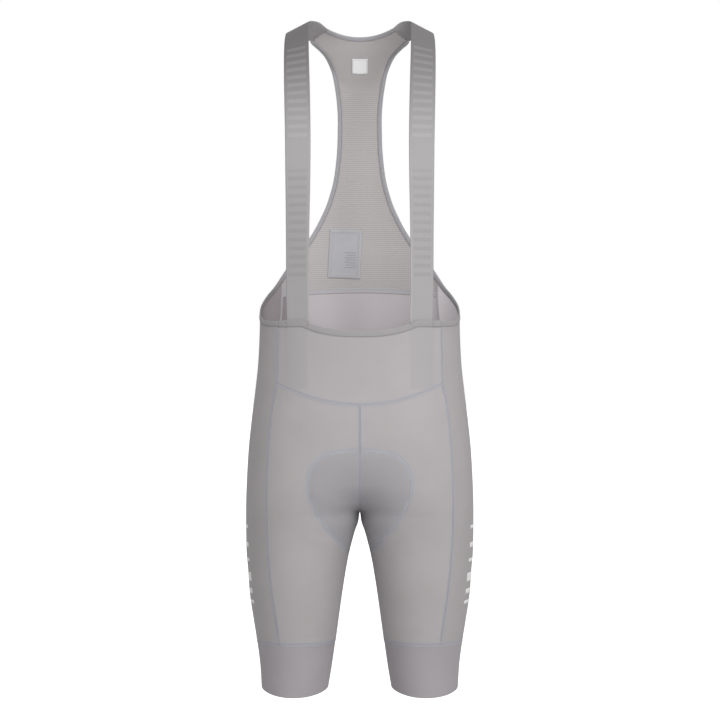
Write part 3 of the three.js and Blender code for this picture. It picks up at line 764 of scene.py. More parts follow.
class FinishTree:
    """A material's nodes, added one at a time."""

    def __init__(self, name: str, roughness: float, sheen: float, specular: float = 0.3) -> None:
        """Starts a material with its plain shader.

        Args:
            name: the material's name.
            roughness: how matt the surface is.
            sheen: weight of the fibre sheen.
            specular: strength of the plain reflection.
        """
        self.material = bpy.data.materials.new(name)
        self.material.use_nodes = True
        self.tree = self.material.node_tree
        self.shader = self.tree.nodes["Principled BSDF"]
        self.shader.inputs["Roughness"].default_value = roughness
        self.shader.inputs["Sheen Weight"].default_value = sheen
        self.shader.inputs["Sheen Roughness"].default_value = 0.45
        self.shader.inputs["Specular IOR Level"].default_value = specular

    def node(self, kind: str, **settings: object) -> bpy.types.Node:
        """A new node with these settings."""
        made = self.tree.nodes.new(kind)
        for name, value in settings.items():
            setattr(made, name, value)
        return made

    def math(self, operation: str, *values: object) -> Socket:
        """The result of one sum."""
        made = self.node("ShaderNodeMath", operation=operation)
        for value, socket in zip(values, made.inputs):
            feed(self.tree, value, socket)
        return made.outputs[0]

    def times(self, first: object, second: object) -> Socket:
        """The product of two values."""
        return self.math("MULTIPLY", first, second)

    def plus(self, first: object, second: object) -> Socket:
        """The sum of two values."""
        return self.math("ADD", first, second)

    def cloth(self) -> tuple[Socket, Socket]:
        """The two distances over the cloth, in metres, from its own map."""
        split = self.node("ShaderNodeSeparateXYZ")
        feed(self.tree, self.node("ShaderNodeUVMap", uv_map="cloth").outputs[0], split.inputs[0])
        return split.outputs[0], split.outputs[1]

    def mark(self, name: str) -> Socket:
        """The value of a mark painted on the mesh."""
        return self.node("ShaderNodeAttribute", attribute_name=name).outputs["Fac"]

    def noise(self, scale: float, detail: float = 2.0) -> Socket:
        """Soft noise over the object's own place.

        Args:
            scale: a metre divided by the length of its features.
            detail: how many finer layers it has.

        Returns:
            The noise, about 0 to 1.
        """
        made = self.node("ShaderNodeTexNoise")
        place = self.node("ShaderNodeTexCoord").outputs["Object"]
        for name, value in (("Vector", place), ("Scale", scale), ("Detail", detail)):
            feed(self.tree, value, made.inputs[name])
        return made.outputs[0]

    def speckle(self, scale: float, most: float) -> Socket:
        """Noise as a share from 0 to this much."""
        return self.times(self.ramp(self.noise(scale), 0.3, 0.7), most)

    def wave(self, distance: Socket, pitch: float) -> Socket:
        """A wave from -1 to 1 over a distance."""
        return self.math("SINE", self.times(distance, math.tau / pitch))

    def blend(self, share: object, low: object, high: object) -> Socket:
        """A colour between two others."""
        made = self.node("ShaderNodeMix", data_type="RGBA")
        for value, socket in zip((share, low, high), (made.inputs[0], made.inputs[6], made.inputs[7])):
            feed(self.tree, value, socket)
        return made.outputs[2]

    def ramp(self, value: object, low: float, high: float) -> Socket:
        """0 below low and 1 above high."""
        made = self.node("ShaderNodeMapRange", interpolation_type="SMOOTHSTEP")
        for name, source in (("Value", value), ("From Min", low), ("From Max", high)):
            feed(self.tree, source, made.inputs[name])
        return made.outputs[0]

    def relief(self, height: Socket, depth: float, strength: float = 0.6) -> None:
        """Raises the surface's small forms.

        Args:
            height: the form, about 0 to 1.
            depth: how deep it is, in metres.
            strength: how much of it shows.
        """
        made = self.node("ShaderNodeBump")
        for name, source in (("Strength", strength), ("Distance", depth), ("Height", height)):
            feed(self.tree, source, made.inputs[name])
        feed(self.tree, made.outputs[0], self.shader.inputs["Normal"])

    def coloured(self, tone: object) -> Material:
        """The finished material, with this as its surface's colour."""
        feed(self.tree, tone, self.shader.inputs["Base Color"])
        return self.material


class Finish(ABC):
    """A material of the garment."""

    @abstractmethod
    def build(self) -> Material:
        """Makes the material.

        Returns:
            The material, ready for a mesh.
        """


@dataclass(frozen=True)
class JerseyFinish(Finish):
    """Smooth warp-knit stretch jersey, with marks for places that take another tone."""

    name: str
    colour: str
    wale: float = 0.0011
    course: float = 0.0008
    depth: float = 0.00014
    sheen: float = 0.08
    marks: tuple[tuple[str, str], ...] = ()

    def build(self) -> Material:
        """Makes the material."""
        tree = FinishTree(self.name, 0.8, self.sheen)
        u, v = tree.cloth()
        wales = tree.math("ABSOLUTE", tree.wave(u, 2 * self.wale))
        knit = tree.plus(tree.times(wales, 0.7), tree.times(tree.wave(v, self.course), 0.2))
        fibre = tree.noise(1400.0, 3.0)
        tree.relief(tree.plus(knit, tree.times(fibre, 0.6)), self.depth, 0.55)
        base = srgb(self.colour)
        cloudy = tree.ramp(tree.noise(16.0, 3.0), 0.25, 0.75)
        tone = tree.blend(cloudy, shaded(base, 0.97), shaded(base, 1.03))
        tone = tree.blend(tree.speckle(2300.0, 0.10), tone, shaded(base, 0.7))
        for mark, code in self.marks:
            tone = tree.blend(tree.mark(mark), tone, srgb(code))
        return tree.coloured(tone)


@dataclass(frozen=True)
class RibMeshFinish(Finish):
    """Open mesh knit with fine ribs across it."""

    name: str
    colour: str
    rib_colour: str
    hollow: str
    rib: float = 0.003
    cell: float = 0.0012
    depth: float = 0.00015

    def build(self) -> Material:
        """Makes the material."""
        tree = FinishTree(self.name, 0.86, 0.1)
        u, v = tree.cloth()
        ribs = tree.times(tree.ramp(tree.wave(v, self.rib), 0.1, 0.9), tree.mark("ribbed"))
        cells = tree.times(tree.wave(u, self.cell), tree.wave(v, self.cell * 0.75))
        holes = tree.ramp(cells, 0.2, 0.8)
        tree.relief(tree.math("SUBTRACT", ribs, tree.times(holes, 0.4)), self.depth)
        hollow = srgb(self.hollow)
        tone = tree.blend(tree.times(ribs, 0.75), srgb(self.colour), srgb(self.rib_colour))
        tone = tree.blend(tree.times(holes, 0.16), tone, hollow)
        return tree.coloured(tree.blend(tree.speckle(9.0, 0.06), tone, hollow))


@dataclass(frozen=True)
class StrapFinish(Finish):
    """Flat woven elastic, darkened by painted shade towards the shoulder where it turns away from the light, with a
    painted highlight along its inner edge low down and plain woven bars across it that fade out downwards.
    """

    name: str
    # top is the colour of the painted shade over the shoulder, and low is the strap's own colour lower down.
    top: str
    low: str
    high_bars: float
    low_bars: float
    selvage: str = "B4B1B2"
    ridge: float = 0.0022
    cord: float = 0.0014
    depth: float = 0.00016
    bar_pitch: float = 0.0118
    bar_ends: tuple[float, float] = (0.0136, 0.0128)
    rim: tuple[float, float] = (0.0162, 0.0170)
    fade: tuple[float, float] = (0.31, 0.49)
    upper: tuple[float, float] = (0.335, 0.486)
    lower: tuple[float, float] = (0.145, 0.300)
    soft_end: float = 0.004

    def within(self, tree: FinishTree, place: Socket, ends: tuple[float, float]) -> Socket:
        """1 between two places along the strap, and 0 past them."""
        first, last = ends
        return tree.times(tree.ramp(place, first, first + self.soft_end), tree.ramp(place, last, last - self.soft_end))

    def build(self) -> Material:
        """Makes the material."""
        tree = FinishTree(self.name, 0.74, 0.12)
        u, v = tree.cloth()
        off, top = tree.math("ABSOLUTE", u), srgb(self.top)
        ridges = tree.math("ABSOLUTE", tree.wave(v, self.ridge))
        tree.relief(tree.plus(tree.times(ridges, 0.7), tree.times(tree.wave(u, self.cord), 0.25)), self.depth)
        # Painted shade: along the fade, the strap turns from its own colour to the shoulder's shade colour.
        tone = tree.blend(tree.ramp(v, *self.fade), srgb(self.low), top)
        woven = tree.times(tree.ramp(tree.wave(v, self.bar_pitch), 0.05, 0.3), tree.ramp(off, *self.bar_ends))
        for ends, strength, grey in ((self.upper, self.high_bars, 1.0), (self.lower, self.low_bars, 0.1)):
            shown = tree.times(self.within(tree, v, ends), strength)
            tone = tree.blend(tree.times(woven, shown), tone, (grey, grey, grey, 1.0))
        tone = tree.blend(tree.speckle(1800.0, 0.12), tone, top)
        tone = tree.blend(tree.times(tree.ramp(off, *self.rim), 0.3), tone, top)
        # Painted highlight along the strap's inner edge, where its mark is set.
        return tree.coloured(tree.blend(tree.mark("selvage"), tone, srgb(self.selvage)))


@dataclass(frozen=True)
class BindingFinish(Finish):
    """Folded elastic binding with a fine rib along it, which may take a painted shade from some way along it."""

    name: str
    colour: str
    line: str
    # low is the colour of the painted shade that the binding takes from some way along it.
    low: str | None = None
    low_span: tuple[float, float] = (0.36, 0.43)
    rib: float = 0.0018
    cross: float = 0.0011
    depth: float = 0.00012

    def build(self) -> Material:
        """Makes the material."""
        tree = FinishTree(self.name, 0.8, 0.1)
        u, v = tree.cloth()
        ribs = tree.math("ABSOLUTE", tree.wave(u, self.rib))
        tree.relief(tree.plus(ribs, tree.times(tree.wave(v, self.cross), 0.3)), self.depth)
        tone = tree.blend(tree.speckle(1500.0, 0.16), srgb(self.colour), srgb(self.line))
        # Painted shade from some way along the binding.
        if self.low:
            tone = tree.blend(tree.ramp(v, *self.low_span), tone, srgb(self.low))
        return tree.coloured(tone)


@dataclass(frozen=True)
class PlainFinish(Finish):
    """A quiet finish for thread, print film, label and pad: a colour with a little grain."""

    name: str
    colour: str
    shade: str
    roughness: float = 0.8
    sheen: float = 0.1
    grain: float = 900.0
    depth: float = 0.0001

    def build(self) -> Material:
        """Makes the material."""
        tree = FinishTree(self.name, self.roughness, self.sheen)
        grain = tree.noise(self.grain, 3.0)
        tree.relief(grain, self.depth)
        share = tree.times(tree.ramp(grain, 0.3, 0.75), 0.6)
        return tree.coloured(tree.blend(share, srgb(self.colour), srgb(self.shade)))


class Finishes:
    """Every finish on the garment, each made once."""

    def __init__(self) -> None:
        """Builds the materials."""
        over = (("pad_area", "A09EA1"), ("tail_area", "A6A3A5"), ("seam_band", "A3A3AA"), ("pad_line", "A9AAB0"))
        self.jersey = JerseyFinish("smooth_jersey", "ABA7A8", marks=over).build()
        self.jersey_side = JerseyFinish("side_jersey", "A7A3A4", marks=over).build()
        edge = (("shaded_edge", "9D9598"),)
        self.jersey_inside = JerseyFinish("jersey_inside", "D0C9CD", sheen=0.05, marks=edge).build()
        # Lit and shaded copies of the inner knit for the side panels: painted light on the left one's inside and
        # painted shade on the right one's.
        self.side_inside = {
            Side.LEFT: JerseyFinish("side_inside_left", "EEE8EB", sheen=0.05).build(),
            Side.RIGHT: JerseyFinish("side_inside_right", "A59D9F", sheen=0.05).build(),
        }
        self.band = JerseyFinish("leg_band_knit", "A39EA2", wale=0.0016, course=0.0006, marks=over).build()
        self.mesh = RibMeshFinish("ribbed_mesh", "BCB7B7", "CFCBCA", "96918F").build()
        # Lit and shaded copies of the strap: each darkens to painted shade at the shoulder, deeper on the right strap
        # than on the left and paler on the inside.
        self.strap = {
            Side.LEFT: StrapFinish("woven_strap_left", "7D7A7C", "A6A4A5", 0.06, 0.12).build(),
            Side.RIGHT: StrapFinish("woven_strap_right", "737072", "A9A7A8", 0.06, 0.12).build(),
        }
        self.strap_inside = StrapFinish("woven_strap_inside", "979495", "A9A7A8", 0.0, 0.0).build()
        self.binding = BindingFinish("edge_elastic", "9D9B9B", "8A8988").build()
        self.binding_inside = BindingFinish("edge_elastic_inside", "ADABAF", "9A989D").build()
        # The armholes' insides darken to painted shade from some way along them, inside the garment, deeper on the
        # right.
        self.armhole_inside = {
            Side.LEFT: BindingFinish("armhole_inside_left", "B0AEB2", "9D9BA0", "A09EA2").build(),
            Side.RIGHT: BindingFinish("armhole_inside_right", "B0AEB2", "9D9BA0", "8E8A8C").build(),
        }
        self.binding_thread = PlainFinish("binding_thread", "8C8A8E", "7C7A7E", grain=2500.0).build()
        self.tape = PlainFinish("seam_tape", "C4C1C6", "B5B2B7", grain=1400.0).build()
        self.thread = PlainFinish("sewing_thread", "B7B6BC", "A7A5AB", grain=2500.0).build()
        self.pale_thread = PlainFinish("pale_thread", "C6C4C8", "B0AEB2", grain=2500.0).build()
        self.film = PlainFinish("white_print_film", "EDEDEB", "DCDCDA", roughness=0.6, grain=1200.0).build()
        self.line_film = PlainFinish("grey_print_film", "AEAFB4", "A5A6AB", roughness=0.7).build()
        self.label = PlainFinish("label_satin", "FEFEFE", "F2F2F4", roughness=0.5, grain=1600.0).build()
        self.pocket = JerseyFinish("pocket_mesh", "BFBEC2", wale=0.0014, course=0.0014).build()
        self.pad = PlainFinish("brushed_pad", "8B8D90", "76787B", roughness=0.95, sheen=0.3, grain=500.0).build()


@dataclass
class MeshParts:
    """A mesh before it is made: points in millimetres, four-sided faces, finish of each face, map and marks."""

    points: Array
    faces: Array
    finish_of: Array
    cloth_map: Array
    marks: dict[str, Array] = field(default_factory=dict)

    def make(self, name: str, finishes: Sequence[Material]) -> Piece:
        """Makes the object, with its faces turned out.

        Args:
            name: the piece's name.
            finishes: the materials that finish_of counts.

        Returns:
            The new object, in the scene.
        """
        a, b, c, d = (self.points[self.faces[:, i]] for i in range(4))
        volume = (a * np.cross(b, c)).sum() + (a * np.cross(c, d)).sum()
        faces = self.faces if volume > 0 else self.faces[:, ::-1]
        mesh = bpy.data.meshes.new(name)
        mesh.from_pydata((self.points * MM).tolist(), [], faces.tolist())
        for finish in finishes:
            mesh.materials.append(finish)
        mesh.polygons.foreach_set("use_smooth", np.ones(len(faces), bool))
        mesh.polygons.foreach_set("material_index", self.finish_of.astype(np.int32))
        layer = mesh.uv_layers.new(name="cloth")
        layer.data.foreach_set("uv", (self.cloth_map[faces.ravel()] * MM).astype(np.float32).ravel())
        for mark, values in self.marks.items():
            kept = mesh.attributes.new(mark, "FLOAT", "POINT")
            kept.data.foreach_set("value", values.astype(np.float32))
        mesh.update()
        return placed(name, mesh)


def grid_quads(rows: int, columns: int, closed: bool) -> Array:
    """The faces of a grid of points.

    Args:
        rows: how many rows of points it has.
        columns: how many points a row has; they are numbered row by row.
        closed: whether the last column joins the first.

    Returns:
        Four point numbers a face.
    """
    r, c = np.meshgrid(np.arange(rows - 1), np.arange(columns if closed else columns - 1), indexing="ij")
    here, ahead = r.ravel() * columns + c.ravel(), r.ravel() * columns + (c.ravel() + 1) % columns
    return np.stack([here, here + columns, ahead + columns, ahead], axis=1)


@dataclass
class Wall:
    """A closed wall of cloth between two grids of points."""

    outer: Array
    inner: Array
    cloth_map: Array
    wrapped: bool = False
    marks: dict[str, Array] = field(default_factory=dict)

    def parts(self) -> MeshParts:
        """The wall's points and faces."""
        rows, columns = self.outer.shape[:2]
        inside = rows * columns

        def rim(first: Array, second: Array) -> Array:
            """The faces between a line of outer points and the inner points behind them."""
            return np.stack([second, inside + second, inside + first, first], axis=1)

        numbers = np.arange(inside).reshape(rows, columns)
        loop = numbers[:, np.arange(columns + self.wrapped) % columns]
        rims = [rim(loop[0, :-1], loop[0, 1:]), rim(loop[-1, 1:], loop[-1, :-1])]
        if not self.wrapped:
            rims += [rim(loop[1:, 0], loop[:-1, 0]), rim(loop[:-1, -1], loop[1:, -1])]
        sheet, rim_faces = grid_quads(rows, columns, self.wrapped), np.concatenate(rims)
        return MeshParts(
            np.concatenate([self.outer.reshape(-1, 3), self.inner.reshape(-1, 3)]),
            np.concatenate([sheet, inside + sheet[:, ::-1], rim_faces]),
            np.repeat([0, 1, 0], (len(sheet), len(sheet), len(rim_faces))),
            np.tile(self.cloth_map.reshape(-1, 2), (2, 1)),
            {name: np.tile(values.ravel(), 2) for name, values in self.marks.items()},
        )

    def area(self) -> float:
        """The cloth's area in square metres, on its outer side."""
        p = self.outer if not self.wrapped else np.concatenate([self.outer, self.outer[:, :1]], axis=1)
        crossed = np.cross(p[1:, 1:] - p[:-1, :-1], p[1:, :-1] - p[:-1, 1:])
        return float(np.linalg.norm(crossed, axis=-1).sum() / 2) * MM * MM


def cloth_distances(points: Array) -> Array:
    """A map in millimetres over a grid of points.

    Args:
        points: the grid.

    Returns:
        For each point, the distance across its row from the middle column, and the mean distance down.
    """
    across = np.linalg.norm(np.diff(points, axis=1), axis=-1)
    u = np.concatenate([np.zeros((len(points), 1)), np.cumsum(across, axis=1)], axis=1)
    down = np.linalg.norm(np.diff(points, axis=0), axis=-1).mean(axis=1)
    v = np.concatenate([[0], np.cumsum(down)])
    middle = points.shape[1] // 2
    return np.stack([u - u[:, middle : middle + 1], np.broadcast_to(v[:, None], u.shape)], axis=-1)


class Dresser:
    """Holds the finishes, puts finished pieces on the CAD frame and keeps count of them."""

    def __init__(self) -> None:
        """Makes the finishes and starts with nothing dressed."""
        self.finishes = Finishes()
        self.count = 0

    def dress(self, piece: Piece, slot: str, *nodes: str) -> Piece:
        """Rides a piece on the body and hides the CAD nodes that it stands for.

        Args:
            piece: the finished piece.
            slot: the material slot that its finish comes from; not used.
            nodes: the CAD nodes.

        Returns:
            The piece.
        """
        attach(piece, "root")
        if nodes:
            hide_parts(*nodes)
        self.count += 1
        LOG.info("%s: %d faces", piece.name, len(piece.data.polygons))
        return piece

    def wall(self, wall: Wall, name: str, finishes: Sequence[Material], slot: str, *nodes: str) -> Piece:
        """Makes a wall of cloth and dresses it.

        Args:
            wall: the cloth.
            name: the piece's name.
            finishes: its outer and inner finish, or one for both.
            slot: the material slot that its finish comes from.
            nodes: the CAD nodes that it stands for.

        Returns:
            The piece.
        """
        LOG.info("%s: worn area %.4f square metres", name, wall.area())
        return self.dress(wall.parts().make(name, [finishes[0], finishes[-1]]), slot, *nodes)


class SubAssembly(ABC):
    """Pieces of the garment that are built together."""

    @abstractmethod
    def make(self, dresser: Dresser) -> None:
        """Builds the pieces.

        Args:
            dresser: holds the finishes and takes the finished pieces.
        """


EDGE_STEPS = np.array([0, 0.45, 1.0, 1.7, 2.5, 3.6, 5.0, 7.0])
NARROW_BAND, WIDE_BAND = (1.7, 2.9), (2.4, 3.6)
SEAM_DIP, SEAM_DIP_WIDTH = 0.08, 1.0
SEAM_SWELL, SEAM_SWELL_PLACE, SEAM_SWELL_WIDTH = 0.12, 2.8, 1.3


def seam_form(distance: Array) -> Array:
    """How the cloth dips into a seam and swells beside it."""
    swell = SEAM_SWELL * bump(distance - SEAM_SWELL_PLACE, SEAM_SWELL_WIDTH)
    return -SEAM_DIP * bump(distance, SEAM_DIP_WIDTH) + swell


def narrow_band(distance: Array) -> Array:
    """How strongly the thread of a single flat seam tints the cloth beside it."""
    return 1 - smoothstep(distance, *NARROW_BAND)


def wide_band(distance: Array) -> Array:
    """How strongly a twin-needle seam tints the cloth, with a paler stretch in its middle."""
    return (1 - smoothstep(distance, *WIDE_BAND)) * (0.55 + 0.45 * bump(distance, 0.9))


@dataclass
class CutPanel(SubAssembly):
    """One panel of the body, cut between two seams round the section and two lines of height."""

    name: str
    body: WornForm
    pad: PadOutline
    start: Rule
    end: Rule
    top: Rule
    first_top: float
    columns: int
    rows_above: int
    rows_below: int
    flat: tuple[float, float]
    flat_area: float
    wall: float = 1.2
    top_sewn: bool = True
    face: Face | None = None
    held: tuple[float, float] = (1.5, 9.0)
    pad_line: tuple[float, float] = (2.0, 3.2)
    pad_swell: float = 0.8
    pad_groove: float = 0.3
    shade_x: tuple[float, float] = (80.0, 104.0)
    shade_z: tuple[float, float] = (-480.0, -440.0)

    def columns_at(self, width: Array) -> Array:
        """Places the columns, crowded at both seams.

        Args:
            width: the panel's width, by row.

        Returns:
            How far across each column is, by row.
        """
        near = EDGE_STEPS[None, :] / width[:, None]
        middle = np.linspace(0, 1, self.columns + 2)[1:-1][None, :]
        last = EDGE_STEPS[-1] / width[:, None]
        return np.concatenate([near, lerp(last, 1 - last, middle), 1 - near[:, ::-1]], axis=1)

    def heights(self, top: Array) -> Array:
        """Places the rows, crowded at the two ends and at the crotch.

        Args:
            top: the height of the panel's top, by column.

        Returns:
            The height of each row, by column.
        """
        crotch, low = self.body.crotch, self.body.leg_end
        upper = top[None, :] - EDGE_STEPS[:, None]
        above = (1 - np.linspace(0, 1, self.rows_above + 1)[1:, None]) ** 1.7
        below = np.linspace(0, 1, self.rows_below + 1)[1:, None] ** 1.45
        legs = [crotch + (upper[-1:] - crotch) * above, crotch + (low + EDGE_STEPS[-1] - crotch) * below + 0 * top]
        return np.concatenate([upper, *legs, low + EDGE_STEPS[::-1][1:, None] + 0 * top])

    def grid(self) -> tuple[Array, Array, Array, Array]:
        """The panel's left-hand form.

        Returns:
            Points by row and column, the distance to the nearer upright seam, to the top, and to the bottom.
        """
        ends = (self.start, self.end)
        count = self.columns + 2 * len(EDGE_STEPS)
        share = np.linspace(0, 1, count)
        for _ in range(2):
            top = self.body.settle(share, *ends, self.top, self.first_top)
            middle = top[count // 2 : count // 2 + 1]
            share = self.columns_at(self.width(middle))[0]
        heights = self.heights(top)
        starts, finishes = self.start(heights), self.end(heights)
        totals = self.body.total(heights)
        spans = (finishes - starts) * totals
        across = np.concatenate([self.columns_at(spans[:, c])[:, c : c + 1] for c in range(count)], axis=1)
        points = self.body.on_body(heights, lerp(starts, finishes, across))
        sides = np.minimum(across, 1 - across) * spans
        return points, sides, heights[:1] - heights, heights - self.body.leg_end

    def width(self, height: Array) -> Array:
        """How wide the panel is at these heights."""
        return (self.end(height) - self.start(height)) * self.body.total(height)

    def keep(self, points: Array) -> Array:
        """Keeps the points of a centre panel on their own side of the seams.

        Args:
            points: the panel's points.

        Returns:
            The points, with those past a centre plane laid on it.
        """
        if self.face is None:
            return points
        limit = np.minimum if self.face is Face.FRONT else np.maximum
        x, y, z = np.moveaxis(points, -1, 0)
        return np.stack([np.maximum(x, 0), limit(y, 0), z], axis=-1)

    def make(self, dresser: Dresser) -> None:
        """Builds the left and right panels."""
        points, sides, below_top, above_end = self.grid()
        out = self.body.normal(points)
        form = seam_form(sides) + seam_form(above_end)
        marks = {"seam_band": np.maximum(narrow_band(sides), wide_band(above_end))}
        if self.top_sewn:
            form = form + seam_form(below_top)
            marks["seam_band"] = np.maximum(marks["seam_band"], wide_band(below_top))
        if self.face is not None:
            depth = self.pad.depth_inside(points)
            marks["pad_area"] = smoothstep(depth, -1.5, 2.5)
            marks["pad_line"] = 1 - smoothstep(np.abs(depth), *self.pad_line)
            swell = self.pad_swell * smoothstep(depth, 0, 12) * smoothstep(sides, *self.held)
            form = form + swell - self.pad_groove * bump(depth, 1.6)
        loose = smoothstep(sides, *self.held) * smoothstep(np.minimum(below_top, above_end), *self.held)
        edge_shade = smoothstep(points[..., 0], *self.shade_x) * smoothstep(points[..., 2], *self.shade_z)
        inner, cloth = self.keep(points - out * self.wall), cloth_distances(points)
        outside = dresser.finishes.jersey_side if self.face is None else dresser.finishes.jersey
        for side in Side:
            marks["shaded_edge"] = edge_shade * (self.face is Face.BACK and side is Side.RIGHT)
            outer = self.keep(points + out * (form + creased(points * side.turn) * loose)[..., None])
            wall = Wall(outer * side.turn, inner * side.turn, cloth, marks=marks)
            # The side panels take the lit and shaded copies of the inner knit: painted light on the left, painted shade
            # on the right.
            inside = dresser.finishes.side_inside[side] if self.face is None else dresser.finishes.jersey_inside
            node = f"{self.name}_{side.word}"
            piece = dresser.wall(wall, f"{node}_cloth", [outside, inside], "panel_knit", node)


@dataclass
class Yoke(SubAssembly):
    """The front waist panel, one piece from side seam to side seam, with the strap tails behind it."""

    body: WornForm
    half_columns: int = 46
    rows: int = 34
    wall: float = 1.2
    tail_inner: float = 69.0
    tail_outer: float = 101.0
    tail_end: float = -511.0
    tail_rise: float = 0.3
    flat: tuple[float, float] = (0.222, 0.105)
    flat_area: float = 0.0200

    def tail_lift(self, x: Array, heights: Array) -> Array:
        """Where the strap's tail lies behind the cloth.

        Args:
            x: distances from the centre plane.
            heights: heights of the same places.

        Returns:
            1 over the tail and 0 away from it.
        """
        within = smoothstep(x, self.tail_inner - 1, self.tail_inner + 1)
        within = within * (1 - smoothstep(x, self.tail_outer - 1, self.tail_outer + 1))
        return within * smoothstep(heights, self.tail_end - 1, self.tail_end + 1)

    def make(self, dresser: Dresser) -> None:
        """Builds the panel."""
        body, middle = self.body, np.array([-470.0])
        width = float(body.front_share(middle)[0] * body.total(middle)[0])
        even = np.linspace(0, 1 - EDGE_STEPS[-1] / width, self.half_columns + 1)[:-1]
        share = np.concatenate([even, 1 - EDGE_STEPS[::-1] / width])
        top = body.settle(share, at_start, body.front_share, body.waist_edge, -428) - 1.2
        low = body.settle(share, at_start, body.front_share, body.hip_seam, -520)
        down = np.linspace(0, 1, self.rows + 1)[:-1, None]
        heights = np.concatenate([lerp(top, low + EDGE_STEPS[-1], down), low + EDGE_STEPS[::-1][:, None]])
        shares = body.front_share(heights) * share
        points = body.on_body(heights, shares)
        sides = (body.front_share(heights) - shares) * body.total(heights)
        tail = self.tail_lift(points[..., 0], heights)
        form = seam_form(sides) + seam_form(heights - low) + self.tail_rise * tail
        out = body.normal(points)
        outer, inner = whole(points + out * form[..., None]), whole(points - out * self.wall)
        outer = outer + whole(out) * creased(outer)[..., None]
        seams = whole(np.maximum(narrow_band(sides), wide_band(heights - low)))
        wall = Wall(outer, inner, cloth_distances(inner), marks={"tail_area": whole(tail), "seam_band": seams})
        both = [dresser.finishes.jersey, dresser.finishes.jersey_inside]
        piece = dresser.wall(wall, "front_yoke_cloth", both, "panel_knit", "front_yoke")


@dataclass
class LegBand(SubAssembly):
    """The elastic band round the hem of each leg."""

    body: WornForm
    columns: int = 150
    rows: int = 20
    wall: float = 1.4
    hem_rise: float = 1.6
    hem_bow: float = 3.4
    hem_row: float = 6.5
    flat: tuple[float, float] = (0.315, 0.070)
    flat_area: float = 0.0216

    def make(self, dresser: Dresser) -> None:
        """Builds both bands."""
        body = self.body
        top, low = body.leg_end, body.hem
        even = np.linspace(top - EDGE_STEPS[-1], low + 3, self.rows)[1:]
        down = np.concatenate([top - EDGE_STEPS, even, low + np.array([1.8, 0.9, 0.3, 0.0])])
        share = np.arange(self.columns) / self.columns
        bow = self.hem_rise + self.hem_bow * np.cos(4 * math.pi * share)
        heights = down[:, None] + bow * ((top - down) / (top - low))[:, None] ** 2
        points = body.on_body(heights, share)
        out = body.normal(points)
        above_hem = heights - heights[-1]
        form = seam_form(top - heights) - 0.3 * bump(above_hem, 0.7) - 0.12 * bump(above_hem - self.hem_row, 0.8)
        lip = 0.35 * bump(above_hem, 0.7)
        outer, inner = points + out * form[..., None], points - out * (self.wall - lip)[..., None]
        cloth, marks = cloth_distances(points), {"seam_band": wide_band(top - heights)}
        for side in Side:
            wall = Wall(outer * side.turn, inner * side.turn, cloth, wrapped=True, marks=marks)
            both, node = [dresser.finishes.band, dresser.finishes.jersey_inside], f"gripper_{side.word}"
            piece = dresser.wall(wall, f"{node}_band", both, "leg_band", node)
            f"front_leg_{side.word}_cloth"


@dataclass
class MeshBack(SubAssembly):
    """The ribbed mesh back."""

    body: WornForm
    back: BackForm
    half_columns: int = 34
    rows: int = 150
    wall: float = 1.0
    bound_inset: float = 0.9
    seam_inset: float = 0.2
    ribs_end: tuple[float, float] = (-86.0, -70.0)
    flat: tuple[float, float] = (0.215, 0.350)
    flat_area: float = 0.0375

    def make(self, dresser: Dresser) -> None:
        """Builds the mesh."""
        back = self.back
        places = np.concatenate([np.linspace(0, 2, 26)[:-1], np.linspace(2, back.last, self.rows)])
        inset = lerp(self.bound_inset, self.seam_inset, smoothstep(places, back.seam - 1.1, back.seam - 0.5))
        widest = 1 - back.reach_for(inset, places) * smoothstep(places, back.corner - 0.4, back.corner + 0.2)
        reach = widest[:, None] * np.linspace(-1, 1, 2 * self.half_columns + 1)[None, :]
        first = back.row_below(reach[0], 0.0, self.bound_inset)
        fall = 1 - smoothstep(places, 0, 2)[:, None]
        rows = lerp(places[:, None] + 0 * reach, first[None, :] + places[:, None] * 0.8, fall)
        points = back.on_back(reach, rows)
        out = back.normal(reach, rows)
        low = np.linalg.norm(points - points[-1:], axis=-1)
        cloth = cloth_distances(points)
        centre = points[:, self.half_columns]
        above = np.maximum(points[..., 2] - centre[0, 2], 0)
        cloth[..., 1] = np.interp(-points[..., 2], -centre[:, 2], run_along(centre)) - 1.3 * above
        marks = {"ribbed": 1 - smoothstep(points[..., 2], *self.ribs_end)}
        wall = Wall(points + out * seam_form(low)[..., None], points - out * self.wall, cloth, marks=marks)
        piece = dresser.wall(wall, "back_mesh_cloth", [dresser.finishes.mesh], "mesh_knit", "back_mesh")


@dataclass
class EdgeLine:
    """A finished edge: its points, the way into the cloth, the way out of it, and the binding's width."""

    points: Array
    into: Array
    out: Array
    widths: Array

    def squared(self) -> "EdgeLine":
        """The edge with its two ways square to it and to one another."""
        along = unit(np.gradient(self.points, axis=0))
        out = unit(self.out - along * (self.out * along).sum(axis=1, keepdims=True))
        across = np.cross(out, along)
        into = across * np.sign((across * self.into).sum(axis=1, keepdims=True))
        return EdgeLine(self.points, into, out, self.widths)

    def mirrored(self) -> "EdgeLine":
        """The edge on the other half."""
        return EdgeLine(self.points * FLIP, self.into * FLIP, self.out * FLIP, self.widths)

    def row(self, lift: float) -> SewnLine:
        """The row of stitches near the binding's inner edge, on its outer face, or its inner one below 0."""
        points = self.points + self.into * (self.widths[:, None] - 1.2) + self.out * lift
        return SewnLine(points, self.out * math.copysign(1, lift))


